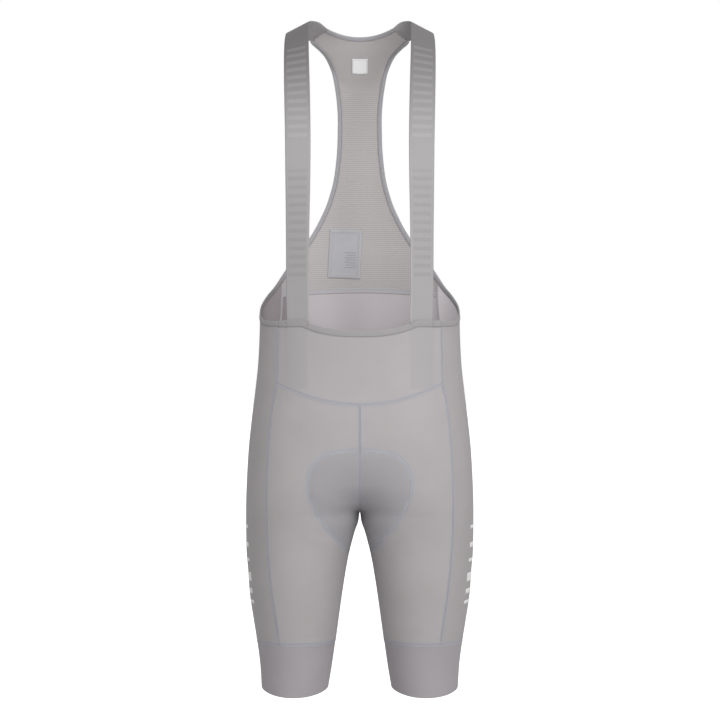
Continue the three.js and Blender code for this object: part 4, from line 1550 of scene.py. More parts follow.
@dataclass
class Bindings(SubAssembly):
    """The folded elastic bindings of armholes, neck and front waist."""

    body: WornForm
    back: BackForm
    width: float = 6.9
    side_width: float = 8.4
    waist_width: float = 9.6
    proud: float = 0.45
    behind: float = 1.6
    slack: float = 0.92
    back_stations: int = 150
    side_stations: int = 90
    smoothing: int = 14

    def profile(self, width: float) -> Array:
        """The binding's closed section.

        Args:
            width: how far it reaches into the cloth.

        Returns:
            Distance into the cloth and height over it, round the section.
        """
        top, low = self.proud, -self.behind
        outside = [
            (width, low + 0.15), (width, top - 0.2), (width - 0.25, top), (width * 0.72, top + 0.12),
            (width * 0.5, top + 0.16), (width * 0.28, top + 0.1), (0.6, top - 0.02), (0.15, top - 0.35),
        ]
        inside = [
            (0.0, (top + low) / 2), (0.15, low + 0.35), (0.6, low + 0.02),
            (width * 0.3, low - 0.1), (width * 0.6, low - 0.12), (width - 0.3, low),
        ]
        return np.array(outside + inside)

    def sweep(self, edge: EdgeLine) -> MeshParts:
        """Runs the binding along an edge.

        Args:
            edge: the finished edge.

        Returns:
            The binding, closed at its two ends.
        """
        profiles = np.stack([self.profile(width) for width in edge.widths])
        rings = edge.points[:, None] + profiles[..., :1] * edge.into[:, None] + profiles[..., 1:] * edge.out[:, None]
        rows, columns = rings.shape[:2]
        half = columns // 2
        k = np.arange(half - 1)
        cap = np.stack([k, k + 1, columns - 2 - k, columns - 1 - k], axis=1)
        last = (rows - 1) * columns
        faces = np.concatenate([grid_quads(rows, columns, True), cap, last + cap[:, ::-1]])
        behind = np.tile(np.arange(columns) >= half, rows - 1).astype(int)
        finish_of = np.concatenate([behind, np.zeros(2 * len(cap), int)])
        flat = np.broadcast_arrays(run_along(profiles[0])[None, :], run_along(edge.points)[:, None])
        return MeshParts(rings.reshape(-1, 3), faces, finish_of, np.stack(flat, axis=-1).reshape(-1, 2))

    def side_edge(self, count: int, start: float, end: float) -> EdgeLine:
        """The finished edge over the side, from the back towards the front waist.

        Args:
            count: how many stations it has.
            start: how far across the side panel it starts.
            end: how far across it ends.

        Returns:
            The edge.
        """
        body = self.body
        across = np.linspace(start, end, count)

        def column(height: Array) -> Array:
            """The share of the way round of each station."""
            return lerp(body.front_share(height), body.back_share(height), across)

        height = body.settle(np.zeros(count), column, column, body.side_top, -400)
        points = body.on_body(height, column(height))
        below = body.on_body(height - 4, column(height - 4))
        return EdgeLine(points, unit(below - points), body.normal(points), np.full(count, self.side_width))

    def armhole(self) -> EdgeLine:
        """The left armhole's edge, down the back and over the side."""
        back, turn, stations = self.back, self.back_stations, self.side_stations
        rows = np.linspace(back.corner + 0.05, back.seam - 1.05, turn)
        edge = back.on_back(1.0, rows)
        side = self.side_edge(stations, 0.93, 0.0)
        points = np.concatenate([edge, side.points])
        into = np.concatenate([unit(back.on_back(0.9, rows) - edge), side.into])
        out = np.concatenate([back.normal(1.0, rows), side.out])
        bend = points[turn - 11 : turn + 11]
        for _ in range(self.smoothing):
            into[1:-1] = unit(into[:-2] + 2 * into[1:-1] + into[2:])
            out[1:-1] = unit(out[:-2] + 2 * out[1:-1] + out[2:])
            bend[1:-1] = (bend[:-2] + 2 * bend[1:-1] + bend[2:]) / 4
        widths = np.concatenate([np.full(turn, self.width), np.linspace(self.width, self.side_width, stations)])
        return EdgeLine(points, into, out, widths).squared()

    def neck(self) -> EdgeLine:
        """The back neck's edge."""
        back = self.back
        reach = np.linspace(-0.99, 0.99, 90)
        edge = back.on_back(reach, 0.0)
        below = back.on_back(reach, back.row_below(reach, 0.0, self.width))
        return EdgeLine(edge, unit(below - edge), back.normal(reach, 0.0), np.full(90, self.width))

    def front_waist(self) -> EdgeLine:
        """The front waist's edge, from side seam to side seam."""
        body = self.body
        share = np.linspace(0, 1, 70)
        height = body.settle(share, at_start, body.front_share, body.waist_edge, -428)
        points = body.on_body(height, body.front_share(height) * share)
        out = body.normal(points)
        points, out = (np.concatenate([half[:0:-1] * FLIP, half]) for half in (points, out))
        into = np.tile([0.0, 0.0, -1.0], (len(points), 1))
        return EdgeLine(points, into, out, np.full(len(points), self.waist_width))

    def make(self, dresser: Dresser) -> None:
        """Builds the four bindings."""
        arm = self.armhole()
        edges = {
            "armhole_binding_left": arm,
            "armhole_binding_right": arm.mirrored(),
            "neck_binding": self.neck(),
            "front_waist_binding": self.front_waist(),
        }
        finishes = dresser.finishes
        # The armhole bindings take the insides with painted shade.
        insides = {f"armhole_binding_{side.word}": finishes.armhole_inside[side] for side in Side}
        for node, edge in edges.items():
            inside = insides.get(node, finishes.binding_inside)
            piece = self.sweep(edge).make(f"{node}_tape", [finishes.binding, inside])
            dresser.dress(piece, "edge_binding", node)

    def lines(self) -> list[SewnLine]:
        """Where the bindings are sewn down."""
        arm = self.armhole()
        edges = (arm, arm.mirrored(), self.neck(), self.front_waist())
        return [edge.row(lift) for edge in edges for lift in (self.proud + 0.14, -self.behind - 0.1)]


@dataclass
class Straps(SubAssembly):
    """The two shoulder straps, from the tail inside the yoke over the shoulder to the back.

    A station gives the strap's centre, how far it is turned about the upright, and how far its inner edge rises.
    """

    body: WornForm
    stations: tuple[tuple[float, ...], ...] = (
        (85, -83, -385, 25, 0), (84.8, -88, -335, 25, 0), (84.5, -94, -280, 22, 0), (84, -98.5, -225, 14, 0),
        (84, -99, -170, 7, 0), (84.8, -93, -122, 0, 3), (86, -80, -80, -3, 8), (87, -60, -45, -5, 14),
        (87.2, -33, -19, -3, 20), (85.5, -7, -6.6, 6, 27), (72, 8.5, -5.8, 24, 25),
        (57.9, 18.4, -13.8, 38.7, 23.6),
    )
    tail: tuple[float, ...] = (-511, -490, -468, -446, -430, -414)
    tail_reach: tuple[float, float] = (101.0, 69.0)
    inset: float = 2.0
    selvage_from: float = 0.93
    selvage_fade: tuple[float, float] = (150.0, 260.0)
    width: float = 35.0
    wall: float = 1.5
    steps: int = 300
    flat: tuple[float, float] = (0.035, 0.500)

    def edges(self) -> Array:
        """The strap's outer and inner edge at each station."""
        heights = np.array(self.tail, float)
        tails = []
        for reach in self.tail_reach:
            points = self.body.on_body(heights, self.body.share_at(heights, reach, Face.FRONT))
            tails.append(points - self.body.normal(points) * self.inset)
        free = []
        for x, y, z, turn, rise in self.stations:
            a, b = math.radians(turn), math.radians(rise)
            inward = np.array([-math.cos(a) * math.cos(b), -math.sin(a) * math.cos(b), math.sin(b)])
            centre = np.array([x, y, z])
            free.append([centre - inward * self.width / 2, centre + inward * self.width / 2])
        return np.concatenate([np.stack(tails, axis=1), np.array(free)])

    @staticmethod
    def flowing(points: Array, places: Array) -> Array:
        """A centripetal curve through points.

        Args:
            points: what it runs through.
            places: shares of its pieces, from 0 at the first point to 1 at the last.

        Returns:
            The curve's points at these places.
        """
        first, last = 2 * points[0] - points[1], 2 * points[-1] - points[-2]
        p = np.concatenate([[first], points, [last]])
        at = np.clip((places * (len(points) - 1)).astype(int), 0, len(points) - 2)
        t = (places * (len(points) - 1) - at)[:, None]
        p0, p1, p2, p3 = p[at], p[at + 1], p[at + 2], p[at + 3]
        gaps = (np.linalg.norm(b - a, axis=1) ** 0.5 for a, b in ((p0, p1), (p1, p2), (p2, p3)))
        d0, d1, d2 = (np.maximum(gap, 1e-4)[:, None] for gap in gaps)
        m1 = ((p1 - p0) / d0 - (p2 - p0) / (d0 + d1) + (p2 - p1) / d1) * d1
        m2 = ((p2 - p1) / d1 - (p3 - p1) / (d1 + d2) + (p3 - p2) / d2) * d1
        t2, t3 = t * t, t * t * t
        return (2 * t3 - 3 * t2 + 1) * p1 + (t3 - 2 * t2 + t) * m1 + (3 * t2 - 2 * t3) * p2 + (t3 - t2) * m2

    def path(self) -> tuple[Array, Array, Array]:
        """The strap's two edges and the way to its inner face, at each step."""
        stations = self.edges()
        places = np.linspace(0, 1, self.steps + 1)
        outer, inner = (self.flowing(stations[:, i], places) for i in (0, 1))
        along = np.gradient(outer + inner, axis=0)
        return outer, inner, unit(np.cross(inner - outer, along))

    def make(self, dresser: Dresser) -> None:
        """Builds both straps."""
        outer, inner, inward = self.path()
        across = np.array([0, 0.012, 0.035, 0.08, 0.16, 0.3, 0.5, 0.7, 0.84, 0.92, 0.965, 0.988, 1.0])
        edge = np.array([0.42, 0.2, 0.06, 0, 0, 0, 0, 0, 0, 0, 0.06, 0.2, 0.42])
        spread = outer[:, None] + (inner - outer)[:, None] * across[None, :, None]
        top, low = (spread + inward[:, None] * (e * self.wall)[None, :, None] for e in (edge, 1 - edge))
        run = run_along((outer + inner) / 2)
        cloth = np.stack(np.broadcast_arrays((across - 0.5)[None, :] * self.width, run[:, None]), axis=-1)
        # A painted highlight down the strap's inner edge, fading out as the strap rises.
        fade = 1 - smoothstep(run, *self.selvage_fade)
        selvage = (across > self.selvage_from)[None, :] * fade[:, None] * 0.5
        for side in Side:
            wall = Wall(top * side.turn, low * side.turn, cloth, marks={"selvage": selvage})
            both, node = [dresser.finishes.strap[side], dresser.finishes.strap_inside], f"strap_{side.word}"
            piece = dresser.wall(wall, f"{node}_web", both, "strap_elastic", node)


@dataclass
class RidingPad(SubAssembly):
    """The foam pad inside the crotch, with a channel down its middle."""

    outline: PadOutline
    body: WornForm
    half_columns: int = 22
    cloth_wall: float = 1.2
    clear: float = 1.6
    edge_clear: float = 0.9
    thick: float = 6.0
    edge_thick: float = 1.2

    def make(self, dresser: Dresser) -> None:
        """Builds the pad."""
        outline = self.outline
        share = np.linspace(0, 1, self.half_columns + 1) ** 0.9
        points = outline.across(np.tile(share, (len(outline.angles), 1)))
        out = self.body.normal(points)
        endwise = np.abs(np.linspace(-1, 1, len(outline.angles)))[:, None]
        away = np.maximum(share[None, :], endwise)
        edge = away**6
        channel = 2.2 * bump(share[None, :], 0.13) * (1 - endwise**3)
        cheeks = 1.2 * bump(share[None, :] - 0.5, 0.2) * bump(endwise - 0.45, 0.4)
        thick = lerp(self.thick, self.edge_thick, edge) - channel * (1 - edge) + cheeks * (1 - edge)
        near = self.cloth_wall + lerp(self.clear, self.edge_clear, edge)
        outer, inner = whole(points - out * near[..., None]), whole(points - out * (near + thick)[..., None])
        wall = Wall(outer, inner, cloth_distances(outer))
        piece = dresser.wall(wall, "chamois_pad_cloth", [dresser.finishes.pad], "riding_pad", "chamois_pad")


@dataclass
class BackPatch:
    """A flat patch on the inner face of the back, between two heights of its centre line."""

    name: str
    back: BackForm
    first: float
    last: float
    top: float
    bottom: float
    clear: float
    thick: float
    tilt: float = 0.0
    border: float = 0.0
    columns: int = 40
    rows: int = 50
    mesh_wall: float = 1.0

    def at(self, x: Array, height: Array, depth: Number) -> Array:
        """Points behind the mesh.

        Args:
            x: places across the patch.
            height: places down it.
            depth: how far inside the mesh's outer face they lie.

        Returns:
            The points.
        """
        middle = (self.top + self.bottom) / 2
        turned = x + self.tilt * (height - middle)
        row = self.back.row_at(height - self.tilt * (turned - (self.first + self.last) / 2))
        reach = turned / self.back.sizes(row)[0]
        return self.back.on_back(reach, row) - self.back.normal(reach, row) * np.asarray(depth)[..., None]

    def wall(self) -> Wall:
        """The patch's wall, with a raised border where it has one."""
        across, down = np.linspace(self.first, self.last, self.columns), np.linspace(self.top, self.bottom, self.rows)
        x, height = np.meshgrid(across, down)
        ends = (x - self.first, self.last - x, self.top - height, height - self.bottom)
        inset = np.minimum.reduce(ends)
        raised = 0.5 * (1 - smoothstep(inset, self.border - 0.8, self.border + 0.2)) if self.border else 0 * inset
        rolled = 0.25 * bump(inset, 0.6)
        near = self.at(x, height, self.mesh_wall + self.clear + 0 * x)
        far = self.at(x, height, self.mesh_wall + self.clear + self.thick + raised - rolled)
        return Wall(near, far, np.stack([x, height], axis=-1))

    def line(self, inset: float, lift: float) -> SewnLine:
        """A closed sewn line on the patch's face.

        Args:
            inset: how far inside the patch's edge it runs.
            lift: how far off the face it lies.

        Returns:
            The line.
        """
        a, b = self.first + inset, self.last - inset
        c, d = self.top - inset, self.bottom + inset
        corners = np.array([(a, c), (b, c), (b, d), (a, d), (a, c)])
        steps = np.linspace(0, 1, 40)[:, None]
        flat = np.concatenate([lerp(p, q, steps[:-1]) for p, q in zip(corners, corners[1:])])
        depth = self.mesh_wall + self.clear + self.thick + lift
        points = self.at(flat[:, 0], flat[:, 1], np.full(len(flat), depth))
        inward = self.at(flat[:, 0], flat[:, 1], np.full(len(flat), depth + 1))
        return SewnLine(points, unit(inward - points))


@dataclass
class BackFittings(SubAssembly):
    """The blank label, the bound pocket and its plain printed lines, all on the inside of the back."""

    back: BackForm
    tilt: float = 0.05
    line_starts: tuple[float, ...] = (-21, -19, -22, -20, -21.5, -19.5, -22)
    first_line: float = -316.0
    line_pitch: float = 3.6

    def label(self) -> BackPatch:
        """The sewn label, left blank."""
        return BackPatch("neck_label", self.back, -11, 11, -42, -62, clear=0.5, thick=0.8, columns=24, rows=22)

    def pocket(self) -> BackPatch:
        """The flat pocket, bound on all four sides."""
        place = ("radio_pocket", self.back, -45, 2, -283, -354)
        return BackPatch(*place, clear=0.1, thick=0.55, tilt=self.tilt, border=5.0)

    def pocket_lines(self) -> list[BackPatch]:
        """Plain printed lines on the pocket."""
        sizes = {"clear": 0.67, "thick": 0.08, "tilt": self.tilt, "columns": 8, "rows": 3}
        made = []
        for i, first in enumerate(self.line_starts):
            top = self.first_line - self.line_pitch * i
            made.append(BackPatch(f"pocket_line_{i + 1}", self.back, first, -6, top, top - 1.5, **sizes))
        return made

    def make(self, dresser: Dresser) -> None:
        """Builds the fittings."""
        finishes = dresser.finishes
        label = dresser.wall(self.label().wall(), "neck_label_satin", [finishes.label], "label_satin", "neck_label")
        bag = self.pocket().wall()
        pocket = dresser.wall(bag, "radio_pocket_cloth", [finishes.pocket], "pocket_mesh", "radio_pocket")
        for patch in self.pocket_lines():
            dresser.wall(patch.wall(), patch.name, [finishes.line_film], "pocket_mesh")


@dataclass
class SideBars(SubAssembly):
    """A column of plain white printed bars down the outside of each leg."""

    body: WornForm
    bars: tuple[tuple[float, float], ...] = ((-700, 5), (-724, 7), (-746, 5), (-766, 12), (-788, 7), (-804, 5))
    fronts: dict[Side, float] = field(default_factory=lambda: {Side.LEFT: -40.0, Side.RIGHT: -35.0})
    back: float = 22.0
    lift: float = 0.06
    film: float = 0.14

    def bar(self, top: float, tall: float, side: Side) -> Wall:
        """One bar.

        Args:
            top: its upper edge.
            tall: how tall it is.
            side: the leg that it is on.

        Returns:
            The bar's film.
        """
        heights = np.linspace(top, top - tall, max(4, int(tall / 1.5)))
        z, y = np.meshgrid(heights, np.linspace(self.fronts[side], self.back, 36), indexing="ij")
        at = self.body.sizes(z)
        along = np.abs(y) / np.where(y < 0, at["front"], at["back"])
        across = at["centre"] + at["half"] * np.maximum(0, 1 - along ** at["square"]) ** (1 / at["square"])
        points = np.stack([np.sqrt(np.maximum(0, across**2 - at["blend"] ** 2)), y, z], axis=-1)
        out = self.body.normal(points)
        faces = [(points + out * lift) * side.turn for lift in (self.lift + self.film, self.lift)]
        return Wall(*faces, np.stack([y, z], axis=-1))

    def make(self, dresser: Dresser) -> None:
        """Builds the bars of both legs."""
        for side in Side:
            for i, (top, tall) in enumerate(self.bars):
                film, name = self.bar(top, tall, side), f"side_bar_{side.word}_{i + 1}"
                dresser.wall(film, name, [dresser.finishes.film], "label_satin")


class StitchTree:
    """The node tree that lays thread along sewn lines."""

    SIZES = (("Pitch", 0.0026), ("Stitch length", 0.0020), ("Thread radius", 0.00024), ("Rise", 0.0004))

    def __init__(self, kind: StitchKind) -> None:
        """Builds the tree.

        Args:
            kind: separate running stitches, or one cover thread.
        """
        self.tree = bpy.data.node_groups.new(f"{kind.value}_stitches", "GeometryNodeTree")
        face = self.tree.interface
        face.new_socket("Geometry", in_out="INPUT", socket_type="NodeSocketGeometry")
        for name, value in self.SIZES:
            face.new_socket(name, in_out="INPUT", socket_type="NodeSocketFloat").default_value = value
        face.new_socket("Thread", in_out="INPUT", socket_type="NodeSocketMaterial")
        face.new_socket("Geometry", in_out="OUTPUT", socket_type="NodeSocketGeometry")
        self.given = self.tree.nodes.new("NodeGroupInput").outputs
        curve = self.add("GeometryNodeMeshToCurve", {"Mesh": self.given["Geometry"]})
        ring = self.add("GeometryNodeCurvePrimitiveCircle", {"Resolution": 5, "Radius": self.given["Thread radius"]})
        thread = self.running(curve, ring) if kind is StitchKind.RUNNING else self.tube(curve, ring)
        soft = self.add("GeometryNodeSetShadeSmooth", {"Geometry": thread})
        real = self.add("GeometryNodeRealizeInstances", {"Geometry": soft})
        painted = self.add("GeometryNodeSetMaterial", {"Geometry": real, "Material": self.given["Thread"]})
        feed(self.tree, painted, self.tree.nodes.new("NodeGroupOutput").inputs[0])

    def add(self, kind: str, inputs: dict[str | int, object], **settings: str) -> Socket:
        """Adds a node.

        Args:
            kind: its type.
            inputs: a link or a value for each input, by name or number.
            settings: its own options.

        Returns:
            Its first output.
        """
        node = self.tree.nodes.new(kind)
        for name, value in settings.items():
            setattr(node, name, value)
        for name, source in inputs.items():
            feed(self.tree, source, node.inputs[name])
        return node.outputs[0]

    def named(self, name: str) -> Socket:
        """A direction kept on the sewn line's points."""
        return self.add("GeometryNodeInputNamedAttribute", {"Name": name}, data_type="FLOAT_VECTOR")

    def point(self, axis: str, value: Socket) -> Socket:
        """A point on one axis of the stitch's own plane."""
        return self.add("ShaderNodeCombineXYZ", {axis: value})

    def tube(self, curve: Socket, ring: Socket) -> Socket:
        """A closed thread along a curve."""
        return self.add("GeometryNodeCurveToMesh", {"Curve": curve, "Profile Curve": ring, "Fill Caps": True})

    def running(self, curve: Socket, ring: Socket) -> Socket:
        """Separate arched stitches, a pitch apart and turned to lie on the cloth.

        Args:
            curve: the sewn lines.
            ring: the thread's section.

        Returns:
            The stitches, as instances.
        """
        spaced = self.add("GeometryNodeResampleCurve", {"Curve": curve, "Length": self.given["Pitch"]}, mode="LENGTH")
        length = self.given["Stitch length"]
        start, end = (self.add("ShaderNodeMath", {0: length, 1: share}, operation="MULTIPLY") for share in (-0.5, 0.5))
        arch_points = {
            "Start": self.point("X", start),
            "Middle": self.point("Z", self.given["Rise"]),
            "End": self.point("X", end),
        }
        arch = self.add("GeometryNodeCurveQuadraticBezier", {"Resolution": 4, **arch_points})
        turn = self.add("FunctionNodeAlignRotationToVector", {"Vector": self.named("along")}, axis="X")
        ways = {"Rotation": turn, "Vector": self.named("out")}
        tip = self.add("FunctionNodeAlignRotationToVector", ways, axis="Z", pivot_axis="X")
        laid = {"Points": spaced, "Instance": self.tube(arch, ring), "Rotation": tip}
        return self.add("GeometryNodeInstanceOnPoints", laid)

    def sew(
        self, name: str, lines: Sequence[SewnLine], thread: Material, sizes: dict[str, float]
    ) -> Piece:
        """Lays thread along lines and returns it as a plain mesh.

        Args:
            name: the piece's name.
            lines: the sewn lines.
            thread: the thread's material.
            sizes: values for the tree's named inputs, in metres.

        Returns:
            The new object.
        """
        points = np.concatenate([line.points for line in lines]) * MM
        starts = np.cumsum([0] + [len(line.points) for line in lines])
        edges = [(i, i + 1) for a, b in zip(starts, starts[1:]) for i in range(a, b - 1)]
        mesh = bpy.data.meshes.new(name + "_path")
        mesh.from_pydata(points.tolist(), edges, [])
        for label, values in (("along", [line.alongs for line in lines]), ("out", [line.outs for line in lines])):
            kept = mesh.attributes.new(label, "FLOAT_VECTOR", "POINT")
            kept.data.foreach_set("vector", np.concatenate(values).astype(np.float32).ravel())
        path = placed(name + "_path", mesh)
        modifier = path.modifiers.new("stitches", "NODES")
        modifier.node_group = self.tree
        values = {**sizes, "Thread": thread}
        for item in self.tree.interface.items_tree:
            if item.in_out == "INPUT" and item.name in values:
                modifier[item.identifier] = values[item.name]
        sewn = bpy.data.meshes.new_from_object(path.evaluated_get(bpy.context.evaluated_depsgraph_get()))
        bpy.data.objects.remove(path)
        sewn.name = name
        return placed(name, sewn)


@dataclass
class Sewing(SubAssembly):
    """Every sewn row on the garment."""

    body: WornForm
    back: BackForm
    outline: PadOutline
    bindings: Bindings
    fittings: BackFittings

    def on_form(self, heights: Array, shares: Array) -> SewnLine:
        """A line on the body's surface."""
        points = self.body.on_body(heights, shares)
        return SewnLine(points, self.body.normal(points))

    def upright(self, rule: Rule, top: float, low: float) -> SewnLine:
        """A seam that runs down the body."""
        heights = np.linspace(top, low, 220)
        return self.on_form(heights, rule(heights))

    def centre(self, face: Face, top: float) -> SewnLine:
        """The centre seam of the front or the back, down to the crotch."""
        crotch = self.body.crotch
        heights = crotch + (top - crotch) * np.linspace(1, 0.002, 160) ** 1.8
        return self.on_form(heights, (at_start if face is Face.FRONT else at_end)(heights))

    def inseam(self) -> SewnLine:
        """The seam down the inside of the left leg."""
        heights = self.body.crotch + (self.body.leg_end - self.body.crotch) * np.linspace(0.03, 1, 120) ** 1.4
        return self.on_form(heights, at_start(heights))

    def across(self, rule: Rule, start: Rule, end: Rule, first: float) -> SewnLine:
        """A seam across the body.

        Args:
            rule: gives the seam's height at a point.
            start: where the seam starts, as a share of the way round.
            end: where it ends.
            first: a height to start from.

        Returns:
            The seam, from the centre outwards.
        """
        share = np.linspace(0, 1, 90)
        heights = self.body.settle(share, start, end, rule, first)
        return self.on_form(heights, lerp(start(heights), end(heights), share))

    def band_top(self) -> SewnLine:
        """The seam round the top of the left leg band."""
        share = np.linspace(0, 1, 260)
        return self.on_form(np.full(len(share), self.body.leg_end), share)

    def __post_init__(self) -> None:
        """Lays out the seams."""
        body = self.body
        side_front = self.upright(body.front_share, -427, body.leg_end)
        self.side_back = self.upright(body.back_share, -362.5, body.leg_end)
        hip = self.across(body.hip_seam, at_start, body.front_share, -520)
        self.waist = self.across(body.waist_seam, body.back_share, at_end, -372)
        pairs = (side_front, self.side_back, self.inseam(), self.strap_seam())
        centres = [self.centre(Face.FRONT, body.front_hip), self.centre(Face.BACK, body.back_waist)]
        self.flat = [line for seam in pairs for line in seam.both()] + centres
        self.twin = [line for seam in (hip, self.waist, self.band_top()) for line in seam.both()]

    def make(self, dresser: Dresser) -> None:
        """Sews everything."""
        self.stitch(dresser)
        self.cover(dresser)
        self.tape(dresser)

    def stitch(self, dresser: Dresser) -> None:
        """Lays the rows of separate stitches.

        Args:
            dresser: holds the finishes and takes the finished pieces.
        """
        pad, finishes = self.outline.line(), dresser.finishes
        panel, thread = "panel_knit", finishes.thread
        patches = [self.fittings.pocket().line(4.2, 0.5), self.fittings.label().line(1.2, 0.05)]
        rows = {
            "flat_seam_stitches": ([line.shifted(a, 0.08) for line in self.flat for a in (-1.25, 1.25)], panel, thread),
            "twin_seam_stitches": ([line.shifted(a, 0.15) for line in self.twin for a in (-2.2, 2.2)], panel, thread),
            "pad_outline_stitches": ([pad.shifted(a, 0.18) for a in (-1.6, 1.6)], panel, thread),
            "binding_stitches": (self.bindings.lines(), "edge_binding", finishes.binding_thread),
            "patch_stitches": (patches, "pocket_mesh", finishes.pale_thread),
        }
        running = StitchTree(StitchKind.RUNNING)
        thin = {"Pitch": 0.0026, "Stitch length": 0.0021, "Thread radius": 0.00022, "Rise": 0.0003}
        for name, (lines, slot, colour) in rows.items():
            dresser.dress(running.sew(name, lines, colour, thin), slot)

    def cover(self, dresser: Dresser) -> None:
        """Lays the threads that cross the seams, and the tacks of the straps.

        Args:
            dresser: holds the finishes and takes the finished pieces.
        """
        inside = []
        for seam, offsets in ((self.side_back, (-0.9, 0.9)), (self.waist, (-2.6, 2.6))):
            for line in seam.both():
                inside += [line.shifted(a, -1.9).zigzag(0.35, 0.9, 0.0) for a in offsets]
        for line in self.strap_seam().both():
            inside += [line.zigzag(1.6, 1.1, -1.15), line.shifted(-1.7, -1.2), line.shifted(1.7, -1.2)]
        laid = [line.zigzag(1.25, 0.9, -0.06) for line in self.flat]
        tacks = [line.zigzag(0.7, 0.35, 0.3) for line in self.tacks()]
        pale, tree = dresser.finishes.pale_thread, StitchTree(StitchKind.COVER)
        for name, lines, colour, radius, slot in (
            ("flat_seam_cover_thread", laid, dresser.finishes.thread, 0.00018, "panel_knit"),
            ("inner_cover_thread", inside, pale, 0.00024, "mesh_knit"),
            ("strap_bartacks", tacks, pale, 0.00022, "edge_binding"),
        ):
            dresser.dress(tree.sew(name, lines, colour, {"Thread radius": radius}), slot)

    def tape(self, dresser: Dresser) -> None:
        """Covers the back's seams inside with tape.

        Args:
            dresser: holds the finishes and takes the finished pieces.
        """
        waist, other = self.waist, self.waist.mirrored()
        pairs = ((waist.points, other.points), (waist.outs, other.outs))
        across = SewnLine(*(np.concatenate([a[:-1], b[::-1]]) for a, b in pairs))
        tapes = [("back_waist_tape", across, 3.4, 0.013, ["seat_left_cloth", "seat_right_cloth"])]
        for side, line in zip(Side, self.side_back.both()):
            behind = [f"seat_{side.word}_cloth", f"side_panel_{side.word}_cloth"]
            tapes.append((f"side_back_tape_{side.word}", line, 1.6, 0.010, behind))
        for name, line, half, cut, behind in tapes:
            piece = dresser.wall(self.inner_tape(line, half), name, [dresser.finishes.tape], "mesh_knit")

    def strap_seam(self) -> SewnLine:
        """The seam between the left strap and the back."""
        rows = np.linspace(0.05, self.back.corner - 0.05, 40)
        return SewnLine(self.back.on_back(1.0, rows), self.back.normal(0.97, rows))

    def tacks(self) -> list[SewnLine]:
        """The short dense tacks that hold the straps' edges under the front waist binding."""
        heights = np.linspace(-419.5, -428.5, 12)
        made = []
        for reach in (70.0, 100.0):
            points = self.body.on_body(heights, self.body.share_at(heights, reach, Face.FRONT))
            made += SewnLine(points + self.body.normal(points) * 0.5, self.body.normal(points)).both()
        return made

    def inner_tape(self, line: SewnLine, half: float) -> Wall:
        """A soft tape sewn over a seam on the inside.

        Args:
            line: the seam.
            half: half the tape's width.

        Returns:
            The tape's wall.
        """
        across = np.array([-1.0, -0.9, -0.5, 0.0, 0.5, 0.9, 1.0]) * half
        edge = np.array([0.28, 0.06, 0.0, 0.03, 0.0, 0.06, 0.28])
        near = np.stack([line.shifted(a, -1.3).points for a in across], axis=1)
        far = np.stack([line.shifted(a, -1.85 + e).points for a, e in zip(across, edge)], axis=1)
        return Wall(near, far, cloth_distances(near))


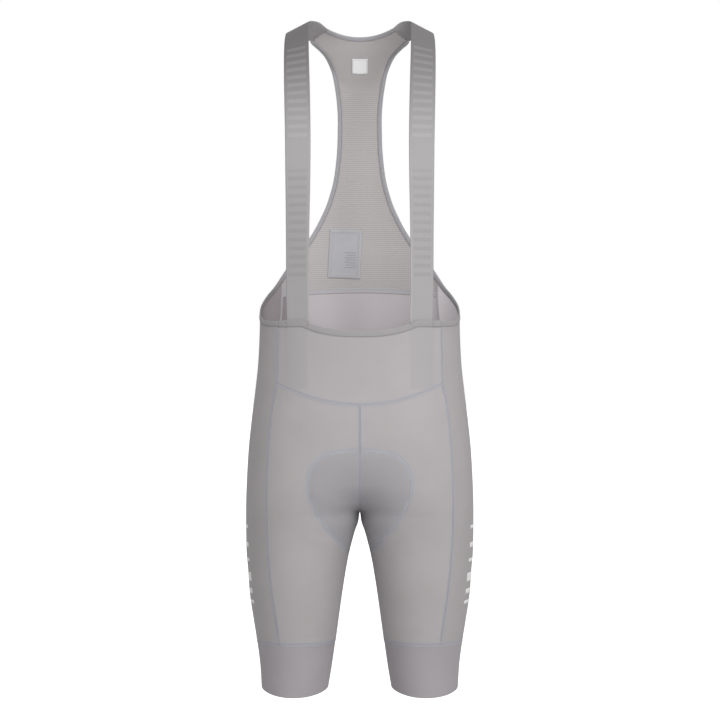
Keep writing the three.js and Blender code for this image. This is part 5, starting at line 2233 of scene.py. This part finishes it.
@dataclass
class Studio:
    """Floor, light and camera: the world is white to the camera and lights the garment softly."""

    ambient: float = 0.6
    floor_half: float = 40.0
    floor_height: float = -1.45
    aim: tuple[float, float, float] = (0.0, 0.0, -0.47)
    camera_place: tuple[float, float, float] = (0.0003, -2.9, -0.472)
    sensor: float = 36.0
    lens: float = 103.57
    lights: tuple[tuple[str, tuple[float, float, float], float, float], ...] = (
        ("key", (2.3, -2.9, 0.7), 1.8, 37.0),
        ("front", (0.4, -1.3, -0.05), 0.8, 6.8),
        ("left_fill", (-0.9, -1.0, -0.1), 0.6, 1.6),
    )

    def floor(self) -> None:
        """A plain pale floor where the wearer would stand."""
        mesh = bpy.data.meshes.new("floor")
        corners = [(x * self.floor_half, y * self.floor_half) for x, y in ((-1, -1), (1, -1), (1, 1), (-1, 1))]
        mesh.from_pydata([(x, y, self.floor_height) for x, y in corners], [], [(0, 1, 2, 3)])
        tree = FinishTree("pale_floor", 0.9, 0.0, 0.1)
        tree.shader.inputs["Emission Color"].default_value = (1.0, 1.0, 1.0, 1.0)
        seen = tree.node("ShaderNodeLightPath").outputs["Is Camera Ray"]
        feed(tree.tree, tree.math("MULTIPLY_ADD", seen, 0.9, 0.05), tree.shader.inputs["Emission Strength"])
        mesh.materials.append(tree.coloured((0.6, 0.6, 0.6, 1.0)))
        placed("floor", mesh)

    def light(self, name: str, place: Sequence[float], size: float, watts: float) -> None:
        """A square soft light aimed at the middle of the garment.

        Args:
            name: the light's name.
            place: where it stands.
            size: the length of its side, in metres.
            watts: its power.
        """
        lamp = bpy.data.lights.new(name, "AREA")
        lamp.size, lamp.energy = size, watts
        made = placed(name, lamp)
        made.location = place
        made.rotation_euler = (Vector(self.aim) - Vector(place)).to_track_quat("-Z", "Y").to_euler()

    def world(self) -> None:
        """White where the camera sees it, and a softer light on the garment."""
        world = bpy.data.worlds.new("white_studio")
        world.use_nodes = True
        nodes, links = world.node_tree.nodes, world.node_tree.links
        nodes["Background"].inputs["Color"].default_value = (1.0, 1.0, 1.0, 1.0)
        path, strength = nodes.new("ShaderNodeLightPath"), nodes.new("ShaderNodeMapRange")
        strength.inputs["To Min"].default_value = self.ambient
        links.new(path.outputs["Is Camera Ray"], strength.inputs["Value"])
        links.new(strength.outputs[0], nodes["Background"].inputs["Strength"])
        bpy.context.scene.world = world
        bpy.context.scene.view_settings.view_transform = "Standard"

    def make(self) -> None:
        """Sets up the studio."""
        self.floor()
        self.world()
        for light in self.lights:
            self.light(*light)
        camera = bpy.data.cameras.new("camera")
        camera.sensor_width, camera.lens = self.sensor, self.lens
        camera.clip_start, camera.clip_end = 0.1, 200.0
        made = placed("camera", camera)
        made.location = self.camera_place
        made.rotation_euler = (math.radians(90), 0.0, 0.0)
        bpy.context.scene.camera = made


def panels(body: WornForm, pad: PadOutline) -> list[CutPanel]:
    """The panels of leg, side and seat, each cut once for both sides.

    Args:
        body: the form that they are cut for.
        pad: the riding pad behind them.

    Returns:
        The three panels.
    """

    def under_edge(points: Array) -> Array:
        """The cut edge of the side panel, inside its binding."""
        return body.side_top(points) - 1.2

    front = CutPanel(
        "front_leg", body, pad, at_start, body.front_share, body.hip_seam, first_top=-520, columns=44,
        rows_above=80, rows_below=66, flat=(0.160, 0.325), flat_area=0.0435, face=Face.FRONT,
    )
    side = CutPanel(
        "side_panel", body, pad, body.front_share, body.back_share, under_edge, first_top=-400, columns=34,
        rows_above=96, rows_below=66, flat=(0.150, 0.480), flat_area=0.0655, top_sewn=False,
    )
    seat = CutPanel(
        "seat", body, pad, body.back_share, at_end, body.waist_seam, first_top=-372, columns=50,
        rows_above=104, rows_below=66, flat=(0.165, 0.480), flat_area=0.0605, face=Face.BACK,
    )
    return [front, side, seat]


def main() -> None:
    """Builds the garment over the frame, then the studio."""
    logging.basicConfig(level=logging.INFO, format="%(message)s")
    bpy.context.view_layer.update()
    dresser, body = Dresser(), WornForm()
    back, outline = BackForm(body), PadOutline(body)
    bindings, fittings = Bindings(body, back), BackFittings(back)
    assemblies: list[SubAssembly] = [
        *panels(body, outline),
        Yoke(body),
        LegBand(body),
        MeshBack(body, back),
        Straps(body),
        bindings,
        RidingPad(outline, body),
        fittings,
        SideBars(body),
        Sewing(body, back, outline, bindings, fittings),
    ]
    for assembly in assemblies:
        assembly.make(dresser)
    Studio().make()
    LOG.info("%d pieces", dresser.count)


if __name__ == "__main__":
    main()
